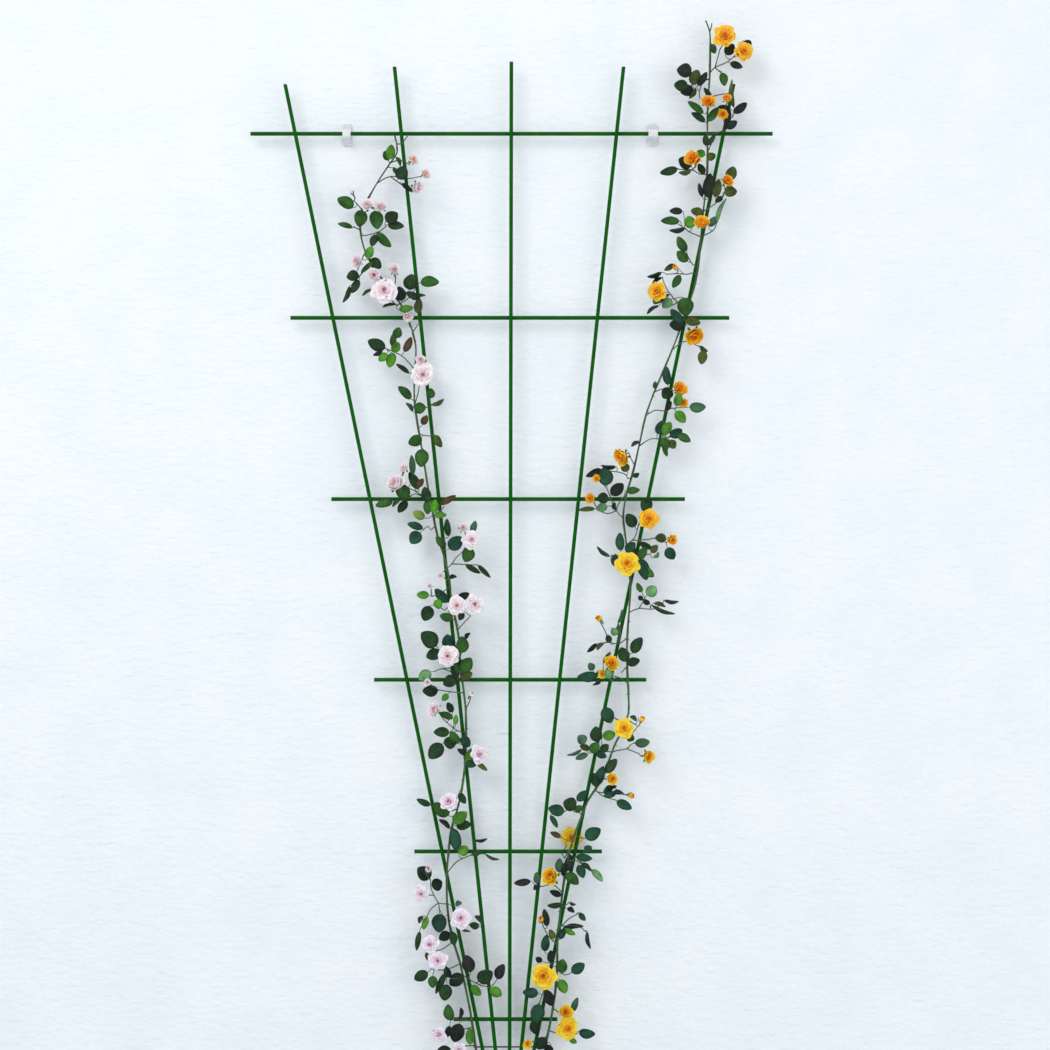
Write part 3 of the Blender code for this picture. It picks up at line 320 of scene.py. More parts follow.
for colour, route, green, brown in (
        ("pink", PINK_ROUTE, (0.030, 0.150, 0.030, 1), (0.045, 0.070, 0.020, 1)),
        ("yellow", YELLOW_ROUTE, (0.024, 0.165, 0.034, 1), (0.036, 0.070, 0.020, 1))):
    work = Work()
    course = smooth_route(route, RING_STEP)
    points = [Vector((p.x, cane_depth(p.y), p.y)) for p in course]
    radii = []
    travelled = 0.0
    for index, point in enumerate(points):
        travelled += (point - points[max(index - 1, 0)]).length
        swell = max(0.0, math.cos(math.tau * travelled / BULGE_EVERY)) ** 8
        radii.append(cane_radius(point.z) * (BARE_SHARE + BUD_BULGE * swell))
    work.tube(points, radii, 10)
    thorn_chance = random.Random(7)
    for index in range(6, len(points) - 4, round(THORN_EVERY / RING_STEP)):
        root = points[index]
        turn = thorn_chance.choice((-1, 1)) * thorn_chance.uniform(0.1, 1.2)
        out = Vector((math.sin(turn) if turn else 1.0, -math.cos(turn) * 0.4, 0)).normalized()
        radius = radii[index] * 0.7
        work.tube([root + out * (radius + THORN_LENGTH * share) - Vector((0, 0, hook))
                   for share, hook in THORN_PROFILE], THORN_R, 5)
    cane = work.made(f"{colour}_rose_cane", [cane_surface(f"{colour}_cane_bark", green, brown)])
    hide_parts(f"{colour}_cane")

# Blooms
# Each rose bears double blooms of soft petals, in rings that open from the heart outwards.
# Pink ones are nearly white with a pink heart, yellow ones orange at the heart.
# Every bloom sits on a green hip with five pointed sepals.
BLOOM_FRONT = -25.0
BEHIND_UPRIGHT = "yellow_bloom_16"
BEHIND_Y = 5.2
BEHIND_BENDS = ((-12.0, -7.0, -30.0), (-16.0, 16.0, -26.0))     # its stalk's way round the rod
BACKS = {"open": -0.42, "cup": -0.70, "bud": -0.80}        # where its hip sits, in radii
# Blooms and buds: x and z of the middle, diameter, how far the face turns to the right and
# upwards, and how far it has opened
PINK_BLOOMS = {
    "pink_bloom_01": [(-146, 1475, 25, 0.6, -0.4, "cup")],
    "pink_bloom_02": [(-226, 1449, 24, -0.1, 0.4, "cup"), (-204, 1446, 24, 0.1, 0.4, "cup")],
    "pink_bloom_03": [(-243, 1359, 25, -0.4, 0.2, "cup")],
    "pink_bloom_04": [(-199, 1313, 44, 0.0, 0.0, "open"), (-215, 1337, 25, 0.0, 0.0, "cup")],
    "pink_bloom_05": [(-182, 1346, 23, 0.2, 0.3, "cup")],
    "pink_bloom_06": [(-162, 1271, 20, 0.0, -0.6, "cup")],
    "pink_bloom_07": [(-137, 1179, 42, 0.2, 0.0, "open"), (-141, 1203, 18, 0.0, 0.2, "cup")],
    "pink_bloom_08": [(-182, 1007, 36, -0.4, 0.5, "cup"), (-168, 1031, 19, -0.2, 0.5, "cup")],
    "pink_bloom_09": [(-60, 917, 32, 0.3, 0.0, "open"), (-73, 936, 20, 0.2, 0.3, "cup")],
    "pink_bloom_10": [(-84, 812, 34, -0.1, 0.0, "open"), (-54, 814, 33, 0.3, 0.1, "open")],
    "pink_bloom_11": [(-98, 732, 38, -0.2, 0.0, "open")],
    "pink_bloom_12": [(-119, 648, 27, -0.4, 0.4, "cup")],
    "pink_bloom_13": [(-47, 576, 33, 0.4, 0.2, "open")],
    "pink_bloom_14": [(-97, 502, 33, -0.3, 0.4, "open")],
    "pink_bloom_15": [(-141, 354, 29, -0.2, 0.0, "open")],
    "pink_bloom_16": [(-77, 316, 36, 0.2, 0.2, "open")],
    "pink_bloom_17": [(-127, 274, 31, -0.2, 0.1, "open"), (-114, 248, 33, 0.0, -0.1, "open")],
    "pink_bloom_18": [(-113, 130, 29, -0.3, -0.3, "open")],
    "pink_bloom_19": [(-80, 106, 27, 0.2, -0.2, "open")]}
YELLOW_BLOOMS = {
    "yellow_bloom_01": [(342, 1717, 40, -0.1, 0.2, "open")],
    "yellow_bloom_02": [(373, 1692, 34, 0.3, 0.1, "open")],
    "yellow_bloom_03": [(316, 1612, 27, 0.0, 0.4, "cup")],
    "yellow_bloom_04": [(291, 1522, 32, -0.5, 0.3, "cup")],
    "yellow_bloom_05": [(347, 1486, 25, 0.4, 0.2, "cup")],
    "yellow_bloom_06": [(306, 1421, 28, 0.0, 0.6, "cup")],
    "yellow_bloom_07": [(233, 1311, 36, -0.6, 0.0, "open")],
    "yellow_bloom_08": [(293, 1240, 36, 0.1, -0.6, "cup")],
    "yellow_bloom_09": [(271, 1157, 27, 0.4, 0.2, "cup"), (276, 1134, 20, 0.3, -0.3, "cup")],
    "yellow_bloom_10": [(177, 1048, 34, -0.7, -0.4, "cup")],
    "yellow_bloom_11": [(222, 950, 36, 0.3, 0.1, "open")],
    "yellow_bloom_12": [(187, 879, 41, -0.1, 0.0, "open")],
    "yellow_bloom_13": [(163, 721, 29, 0.2, 0.4, "cup"), (148, 704, 18, -0.4, -0.2, "cup")],
    "yellow_bloom_14": [(182, 618, 34, -0.1, 0.3, "open")],
    "yellow_bloom_15": [(221, 572, 27, 0.6, 0.0, "cup")],
    "yellow_bloom_16": [(100, 438, 36, 0.0, 0.0, "open")],
    "yellow_bloom_17": [(64, 383, 34, -0.5, 0.4, "cup")],
    "yellow_bloom_18": [(54, 224, 44, -0.1, 0.0, "open")],
    "yellow_bloom_19": [(93, 140, 38, 0.2, 0.0, "open"), (90, 168, 28, 0.2, 0.4, "cup")]}
PINK_BUDS = [
    (-152, 1520, 20, 0.5, 0.3, "cup"), (-132, 1498, 18, 0.6, 0.2, "cup"),
    (-250, 1468, 14, -0.4, 0.7, "bud"), (-109, 859, 13, 0.0, -0.2, "cup"),
    (-127, 843, 13, -0.2, 0.0, "cup"), (-61, 671, 16, 0.4, 0.5, "bud"),
    (-130, 690, 14, 0.0, 0.0, "cup"), (-130, 392, 19, 0.2, 0.6, "bud")]
YELLOW_BUDS = [
    (345, 1618, 19, -0.1, 0.5, "cup"), (339, 1592, 19, 0.0, -0.2, "cup"),
    (264, 1349, 16, -0.4, 0.4, "bud"), (138, 1014, 14, -0.4, 0.0, "cup"),
    (128, 982, 19, -0.3, 0.0, "cup"), (259, 917, 20, 0.5, 0.0, "cup"),
    (143, 791, 19, -0.5, 0.5, "bud"), (210, 631, 20, 0.2, 0.6, "bud"),
    (164, 537, 22, 0.4, 0.0, "cup"), (192, 511, 18, 0.7, 0.0, "bud"),
    (50, 313, 19, -0.2, 0.6, "bud"), (29, 116, 17, 0.0, 0.0, "cup")]
# Rings of petals from outside in: number, length, opening at the root and at the lip in
# degrees, half the turn that a petal wraps, and which of the three petal shades it has.
# Lengths are shares of the bloom's radius, and so is the value before the rings, which is
# where the outer ring starts along the axis.
PETAL_RINGS = {
    "open": (-0.36, [(5, 0.96, 58, 104, 0.72, 0), (5, 0.88, 42, 86, 0.76, 0),
                     (4, 0.76, 26, 66, 0.88, 1), (4, 0.64, 10, 44, 0.96, 1),
                     (3, 0.56, 2, 26, 1.20, 2)]),
    "cup": (-0.55, [(5, 1.10, 74, 26, 0.80, 0), (4, 1.04, 58, 18, 0.96, 0),
                    (4, 0.98, 40, 14, 0.98, 1), (3, 0.92, 20, 10, 1.25, 2)]),
    "bud": (-0.45, [(3, 1.35, 58, -34, 1.20, 1), (3, 1.30, 40, -24, 1.30, 2)])}
# Sepals are described like petals. A bud's clasp it, the others spread.
SEPAL_SLOT = 3
HEART_SLOT = 4
CLASPING_SEPAL = (5, 1.15, 60, -18, 0.20, SEPAL_SLOT)
SPREAD_SEPAL = (5, 0.72, 78, 96, 0.20, SEPAL_SLOT)
# The boss in the middle of the bloom: distance along the axis and girth, of the radius
BOSS_PROFILE = [(0.0, 0.10), (0.22, 0.13), (0.30, 0.10), (0.34, 0.02)]
MOST_HIP_R = 2.4
PETAL_THICK = 0.35
PETAL_STEPS = 12          # along a petal's profile
# What differs from petal to petal, as least and most: its length, its ruffle and its tilt
PETAL_STRETCH = (0.84, 1.04)
PETAL_RUFFLE = (0.5, 1.2)
PETAL_TILT = (-11, 9)
PETAL_SHIFT = 0.08        # radians that a petal may be off its place in the ring
RING_RISE = 0.02          # from one ring to the next, in radii
# Shape of a petal, in shares of its length, of its width or of the bloom's radius
ROUNDED_LIP = 0.20        # how much less it reaches at its sides
CLAW = 0.45               # its width at the root
SWIRL = 0.05
DRAWN_IN = 0.05           # how far its sides bend in and up
RAISED = 0.06
RUFFLE_OUT = 0.055
RUFFLE_UP = 0.10


def bloom_axis(right, up):
    return Vector((right, -math.sqrt(max(1 - right * right - up * up, 0.05)), up)).normalized()


def bloom_centre(x, z, diameter, axis, form, behind=False):
    """Set the bloom just in front of the leaves, however its face is turned."""
    radius = diameter / 2
    backmost = max(radius * math.sqrt(max(1 - axis.y ** 2, 0.0)) - 0.1 * radius,
                   -radius * BACKS[form] * -axis.y)
    if behind:
        return Vector((x, BEHIND_Y + 0.52 * radius, z))
    return Vector((x, BLOOM_FRONT - backmost, z))


def petal_surface(name, root, middle, lip):
    """Soft petal: its colour runs from root to lip, with fine streaks along it."""
    made, tree, shader = surface(name, 0.55)
    chart = put(tree, "ShaderNodeUVMap", {"uv_map": "leaf"})
    parts = put(tree, "ShaderNodeSeparateXYZ", links={"Vector": chart.outputs["UV"]})
    fade = put(tree, "ShaderNodeValToRGB", links={"Fac": parts.outputs["Y"]})
    stops = fade.color_ramp.elements
    stops[0].color, stops[1].color = (*root, 1), (*lip, 1)
    stops.new(0.45).color = (*middle, 1)
    stretch = put(tree, "ShaderNodeMapping", values={"Scale": (22.0, 2.0, 1.0)},
                  links={"Vector": chart.outputs["UV"]})
    streak = put(tree, "ShaderNodeTexNoise", values={"Scale": 1.0, "Detail": 3.0},
                 links={"Vector": stretch.outputs["Vector"]})
    patches = use_group(tree, MOTTLE, {"Light": (1, 1, 1, 1), "Dark": (0.95, 0.91, 0.92, 1),
                                       "Size": 110.0})
    shade = put(tree, "ShaderNodeMix", {"data_type": "RGBA", "blend_type": "MULTIPLY"},
                values={0: 0.8}, links={6: fade.outputs["Color"], 7: patches.outputs["Colour"]})
    tree.links.new(shade.outputs[2], shader.inputs["Base Color"])
    relief = put(tree, "ShaderNodeBump", values={"Strength": 0.4, "Distance": 0.0004},
                 links={"Height": streak.outputs["Fac"]})
    tree.links.new(relief.outputs["Normal"], shader.inputs["Normal"])
    shader.inputs["Subsurface Weight"].default_value = 0.12
    shader.inputs["Subsurface Scale"].default_value = 0.002
    return made


# The colours of a bloom change with its height on the rose: creamy at the top of the pink one
# and a little lilac low down, deep orange at the top of the yellow one and lemon low down.
# Each line has the lowest height, then root, middle and lip of the outer, middle and heart petals.
PETAL_COLOURS = {
    "pink": [
        (1490, (((0.90, 0.78, 0.50), (0.95, 0.80, 0.68), (0.97, 0.86, 0.82)),
                ((0.88, 0.58, 0.34), (0.94, 0.70, 0.56), (0.96, 0.82, 0.76)),
                ((0.74, 0.30, 0.12), (0.88, 0.48, 0.30), (0.94, 0.66, 0.52)))),
        (640, (((0.93, 0.88, 0.74), (0.96, 0.86, 0.87), (0.97, 0.90, 0.92)),
               ((0.92, 0.70, 0.66), (0.95, 0.78, 0.82), (0.97, 0.88, 0.90)),
               ((0.72, 0.20, 0.27), (0.90, 0.52, 0.60), (0.95, 0.76, 0.81)))),
        (0, (((0.90, 0.84, 0.84), (0.93, 0.82, 0.90), (0.95, 0.87, 0.94)),
             ((0.88, 0.64, 0.72), (0.92, 0.72, 0.84), (0.94, 0.83, 0.92)),
             ((0.66, 0.18, 0.34), (0.84, 0.46, 0.64), (0.92, 0.70, 0.83))))],
    "yellow": [
        (1480, (((0.80, 0.30, 0.010), (0.95, 0.46, 0.010), (0.98, 0.56, 0.020)),
                ((0.82, 0.18, 0.006), (0.94, 0.34, 0.008), (0.97, 0.48, 0.014)),
                ((0.72, 0.10, 0.004), (0.88, 0.20, 0.005), (0.95, 0.34, 0.010)))),
        (900, (((0.84, 0.34, 0.006), (0.96, 0.48, 0.007), (0.98, 0.57, 0.012)),
               ((0.84, 0.24, 0.005), (0.95, 0.40, 0.006), (0.98, 0.52, 0.010)),
               ((0.80, 0.13, 0.003), (0.90, 0.24, 0.004), (0.96, 0.38, 0.008)))),
        (0, (((0.86, 0.42, 0.008), (0.97, 0.59, 0.010), (0.98, 0.73, 0.030)),
             ((0.86, 0.29, 0.006), (0.96, 0.48, 0.008), (0.98, 0.64, 0.020)),
             ((0.82, 0.15, 0.003), (0.91, 0.27, 0.005), (0.96, 0.41, 0.010))))]}
PETALS = {colour: [(lowest, [petal_surface(f"{colour}_petal_{lowest}_{number}", *stages)
                             for number, stages in enumerate(shades, start=1)])
                   for lowest, shades in bands]
          for colour, bands in PETAL_COLOURS.items()}
HEARTS = {colour: mottled_surface(f"{colour}_heart", light, dark,
                                  patch=260.0, roughness=0.6, grain=700.0, depth=0.0006)
          for colour, light, dark in (
              ("pink", (0.74, 0.16, 0.24, 1), (0.50, 0.08, 0.12, 1)),
              ("yellow", (0.86, 0.30, 0.010, 1), (0.62, 0.14, 0.006, 1)))}


def petals_at(colour, height):
    return next(shades for lowest, shades in PETALS[colour] if height >= lowest)


sepal_green = mottled_surface("sepal_green", (0.10, 0.22, 0.03, 1), (0.05, 0.10, 0.02, 1),
                              patch=150.0, roughness=0.5, grain=500.0, depth=0.0003)


def add_petal(work, centre, axis, radius, start, ring, turn, chance):
    """One petal, wrapped round the bloom's axis and opening towards its lip."""
    length, low, high, wrap, shade = ring[1:]
    side = axis.cross(Vector((0, 0, 1)) if abs(axis.z) < 0.9 else Vector((1, 0, 0))).normalized()
    up = axis.cross(side)
    stretch = chance.uniform(*PETAL_STRETCH)
    ruffle = chance.uniform(*PETAL_RUFFLE)
    phase = chance.uniform(0, math.tau)
    tilt = chance.uniform(*PETAL_TILT)
    path = [(0.10, start)]
    for k in range(PETAL_STEPS):
        angle = math.radians(low + tilt + (high - low) * (k + 0.5) / PETAL_STEPS)
        out, along = path[-1]
        path.append((out + length * stretch * math.sin(angle) / PETAL_STEPS,
                     along + length * stretch * math.cos(angle) / PETAL_STEPS))

    def at(share, across_share):
        u = 2 * across_share - 1
        reach = share * (1 - ROUNDED_LIP * abs(u) ** 1.7)
        k = min(int(reach * PETAL_STEPS), PETAL_STEPS - 1)
        part = reach * PETAL_STEPS - k
        out = path[k][0] + (path[k + 1][0] - path[k][0]) * part
        along = path[k][1] + (path[k + 1][1] - path[k][1]) * part
        widening = math.sin(math.pi * min(share * 0.62 + 0.12, 0.5))
        width = wrap * (CLAW + (1 - CLAW) * widening)
        spin = turn + u * width + SWIRL * math.sin(5 * share + phase)
        out *= 1 - DRAWN_IN * u * u
        out += RUFFLE_OUT * ruffle * share ** 3 * math.sin(5.5 * u + phase)
        along += (RUFFLE_UP * ruffle * share ** 2 * math.sin(4.2 * u + 1.7 * phase)
                  + RAISED * share * u * u)
        outwards = side * math.cos(spin) + up * math.sin(spin)
        return centre + (outwards * out + axis * along) * radius

    work.sheet(at, 8, 10, shade)


def add_bloom(work, centre, diameter, axis, form, chance):
    """Petals from outside in, the boss in their middle, then the hip and sepals behind."""
    radius = diameter / 2
    start, rings = PETAL_RINGS[form]
    turn = chance.uniform(0, math.tau)
    for number, ring in enumerate(rings):
        count = ring[0]
        for petal in range(count):
            spin = turn + math.tau * (petal + 0.5 * (number % 2)) / count
            spin += chance.uniform(-PETAL_SHIFT, PETAL_SHIFT)
            add_petal(work, centre, axis, radius, start + RING_RISE * number, ring, spin, chance)
    if form != "bud":
        boss = [centre + axis * radius * (start + along) for along, girth in BOSS_PROFILE]
        work.tube(boss, [girth * radius for along, girth in BOSS_PROFILE], 8, HEART_SLOT)
    hip = centre + axis * BACKS[form] * radius
    girth = min(MOST_HIP_R, radius * 0.22)
    work.tube([hip, hip + axis * girth * 0.9, hip + axis * girth * 2.0],
              [girth * 0.6, girth, girth * 0.55], 8, SEPAL_SLOT)
    sepal = CLASPING_SEPAL if form == "bud" else SPREAD_SEPAL
    for number in range(5):
        spin = turn + 0.4 + math.tau * number / 5
        add_petal(work, centre, axis, radius, BACKS[form] + 0.12, sepal, spin, chance)


bloom_chance = random.Random(23)
for colour, blooms in (("pink", PINK_BLOOMS), ("yellow", YELLOW_BLOOMS)):
    for name, group in blooms.items():
        work = Work()
        hearts = []
        for x, z, diameter, right, up, form in group:
            axis = bloom_axis(right, up)
            centre = bloom_centre(x, z, diameter, axis, form, name == BEHIND_UPRIGHT)
            add_bloom(work, centre, diameter, axis, form, bloom_chance)
            hearts.append(centre + axis * BACKS[form] * diameter / 2)
        if len(hearts) > 1:
            work.tube(hearts, [SHOOT_R, SHOOT_R], 6, SEPAL_SLOT)
        tissues = [*petals_at(colour, group[0][1]), sepal_green, HEARTS[colour]]
        bloom = work.made(f"{colour}_rose_{name[-2:]}", tissues, PETAL_THICK)
        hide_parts(name)

# Buds
# Small blooms and buds that haven't opened, on the same shoots as the leaves.
# A bud is still wrapped in its sepals, with the first petals showing at the tip.
for colour, buds in (("pink", PINK_BUDS), ("yellow", YELLOW_BUDS)):
    for number, (x, z, diameter, right, up, form) in enumerate(buds, start=1):
        work = Work()
        axis = bloom_axis(right, up)
        centre = bloom_centre(x, z, diameter, axis, form)
        add_bloom(work, centre, diameter, axis, form, bloom_chance)
        tissues = [*petals_at(colour, z), sepal_green, HEARTS[colour]]
        small = work.made(f"{colour}_bud_{number:02d}", tissues, PETAL_THICK)

# Leafy shoots
# Thin green shoots leave the canes, branch and end in leaflets and blooms.
# They are soft this year's growth, round in section and reddish where the sun gets at them.
# Courses of the twigs: x and z from the shoot outwards
PINK_TWIGS = [
    [(-180, 1548), (-172, 1548), (-162, 1562)],
    [(-211, 1488), (-190, 1496), (-160, 1493), (-143, 1496)],
    [(-190, 1496), (-172, 1483), (-155, 1472)], [(-190, 1518), (-176, 1522), (-161, 1516)],
    [(-236, 1440), (-243, 1452), (-249, 1458)], [(-223, 1466), (-225, 1452), (-226, 1448)],
    [(-238, 1408), (-249, 1416)], [(-231, 1402), (-212, 1406), (-197, 1416)],
    [(-233, 1370), (-240, 1352), (-243, 1345)], [(-228, 1350), (-240, 1336), (-252, 1322)],
    [(-180, 1290), (-160, 1303), (-150, 1318)], [(-190, 1308), (-182, 1328), (-182, 1340)],
    [(-156, 1248), (-150, 1254), (-144, 1262)],
    [(-151, 1190), (-168, 1207), (-188, 1218), (-200, 1222)],
    [(-152, 1176), (-145, 1190), (-141, 1200)], [(-151, 1135), (-146, 1150), (-144, 1162)],
    [(-152, 1128), (-138, 1126), (-124, 1131)], [(-142, 1085), (-128, 1082), (-119, 1083)],
    [(-131, 980), (-150, 990), (-163, 983), (-176, 978)],
    [(-131, 982), (-150, 994), (-170, 1002)], [(-125, 932), (-130, 938), (-138, 932)],
    [(-121, 955), (-111, 962), (-104, 970)], [(-106, 865), (-92, 878), (-85, 888), (-75, 897)],
    [(-92, 880), (-70, 877), (-50, 876)], [(-99, 840), (-112, 830), (-124, 826)],
    [(-85, 775), (-78, 778), (-62, 795)], [(-92, 815), (-104, 804), (-112, 812)],
    [(-82, 740), (-98, 742), (-112, 740)], [(-107, 711), (-120, 706)],
    [(-76, 700), (-90, 705), (-107, 711)], [(-74, 670), (-94, 674), (-114, 677)],
    [(-70, 645), (-64, 658), (-61, 668)], [(-69, 605), (-84, 612), (-100, 625)],
    [(-69, 600), (-88, 596), (-104, 592)], [(-71, 560), (-60, 564), (-52, 566)],
    [(-83, 487), (-100, 482), (-110, 486)],
    [(-99, 387), (-85, 402), (-70, 410), (-57, 414), (-37, 416)],
    [(-100, 334), (-113, 337), (-123, 355), (-125, 360), (-126, 374)],
    [(-114, 335), (-124, 329), (-130, 319), (-142, 296)], [(-113, 333), (-111, 320)],
    [(-97, 310), (-80, 304), (-56, 302), (-45, 304)], [(-89, 275), (-110, 262), (-126, 262)],
    [(-96, 232), (-112, 230), (-126, 232)], [(-79, 240), (-74, 222), (-62, 214), (-55, 210)],
    [(-55, 210), (-44, 205), (-29, 204), (-20, 215)], [(-62, 150), (-78, 152), (-94, 150)],
    [(-56, 112), (-76, 108), (-92, 104)], [(-62, 140), (-90, 132), (-105, 130)]]
YELLOW_TWIGS = [
    [(320, 1724), (322, 1734), (323, 1741)],
    [(319, 1659), (328, 1670), (348, 1679), (360, 1690), (365, 1701)], [(329, 1672), (336, 1699)],
    [(328, 1670), (339, 1660)], [(318, 1655), (311, 1651), (303, 1632), (304, 1619)],
    [(319, 1650), (303, 1646), (291, 1642)], [(317, 1625), (332, 1626), (353, 1629)],
    [(317, 1590), (332, 1596), (356, 1590), (359, 1598)], [(316, 1560), (332, 1566), (346, 1571)],
    [(316, 1540), (322, 1548)], [(303, 1500), (292, 1507), (278, 1507), (268, 1508)],
    [(315, 1500), (303, 1500)], [(308, 1435), (330, 1454), (342, 1468), (350, 1484)],
    [(305, 1402), (324, 1409), (330, 1420), (334, 1440)],
    [(305, 1402), (286, 1408), (280, 1413), (269, 1420)],
    [(291, 1342), (284, 1340), (270, 1341), (250, 1340)], [(292, 1356), (283, 1372)],
    [(268, 1296), (258, 1307), (250, 1318), (244, 1334)], [(270, 1292), (258, 1290), (242, 1296)],
    [(278, 1265), (284, 1262)], [(260, 1223), (279, 1233), (300, 1226)],
    [(231, 1152), (240, 1156), (252, 1158)],
    [(219, 1114), (232, 1123), (248, 1122), (258, 1126), (284, 1128)],
    [(206, 1062), (224, 1077), (240, 1077)], [(240, 1077), (254, 1080), (266, 1083)],
    [(189, 1014), (186, 1020), (176, 1024), (160, 1026), (147, 1028)],
    [(185, 993), (176, 977), (171, 963), (180, 952)],
    [(171, 963), (167, 967), (159, 990), (154, 1001)], [(169, 963), (156, 958), (142, 964)],
    [(186, 911), (200, 920), (204, 933), (209, 950)],
    [(200, 915), (222, 917), (231, 919), (250, 912)], [(190, 890), (208, 890), (224, 894)],
    [(188, 885), (174, 890), (162, 892)], [(193, 797), (207, 807), (230, 806), (247, 818)],
    [(207, 807), (216, 824)], [(188, 755), (174, 750), (160, 753), (150, 751), (140, 743)],
    [(174, 752), (178, 778)], [(160, 753), (150, 776), (145, 785)],
    [(190, 685), (176, 696), (160, 700), (140, 700)], [(187, 716), (178, 704)],
    [(188, 716), (196, 726)], [(191, 630), (200, 622), (205, 619), (196, 608)],
    [(186, 626), (168, 632), (154, 644)], [(171, 580), (187, 583), (194, 590), (200, 593)],
    [(187, 581), (207, 575)], [(162, 574), (148, 580), (132, 582), (118, 586)],
    [(137, 512), (150, 507), (171, 501)], [(140, 513), (157, 512), (181, 512)],
    [(118, 480), (108, 484), (96, 486), (88, 484)], [(104, 440), (118, 440)],
    [(92, 405), (108, 404), (128, 394)], [(84, 353), (70, 366), (49, 363), (38, 368)],
    [(82, 330), (94, 336)], [(85, 302), (95, 312), (110, 320)],
    [(80, 300), (110, 300), (119, 293), (124, 290)], [(77, 270), (62, 284), (56, 296)],
    [(76, 235), (88, 222), (99, 226)], [(76, 215), (66, 215), (56, 199)],
    [(56, 199), (50, 184), (47, 172)], [(70, 172), (84, 160), (98, 162)],
    [(62, 130), (80, 127), (92, 122), (110, 130)], [(60, 122), (50, 116), (38, 116)]]
SHOOT_DEPTH = -10.6
TWIG_JOINT = 6.0          # a twig that starts this near a shoot starts on it
SHOOT_STEP = 10.0         # between the rings of a shoot beside the cane
TWIG_STEP = 6.0
TWIG_RISE = 1.2           # how far a twig comes forward by its tip
TWIG_TAPER = 0.3
TWINE = 26.0              # the shoot winds a little: its rise for each radian, then how far
WINDING = 1.2
WINDING_DEPTH = 0.9
DETOUR = 14.0             # a stalk from ahead of its leaf has to be this much nearer
CALM_SWAY = 3.0           # a leaf under a bloom lies flatter
NARROW = 6                # a leaf this narrow in the photo is a wider one seen edge on
EDGE_ON_WIDTH = 12.0
EDGE_ON_ROLL = 62
PETIOLE_R = 0.6

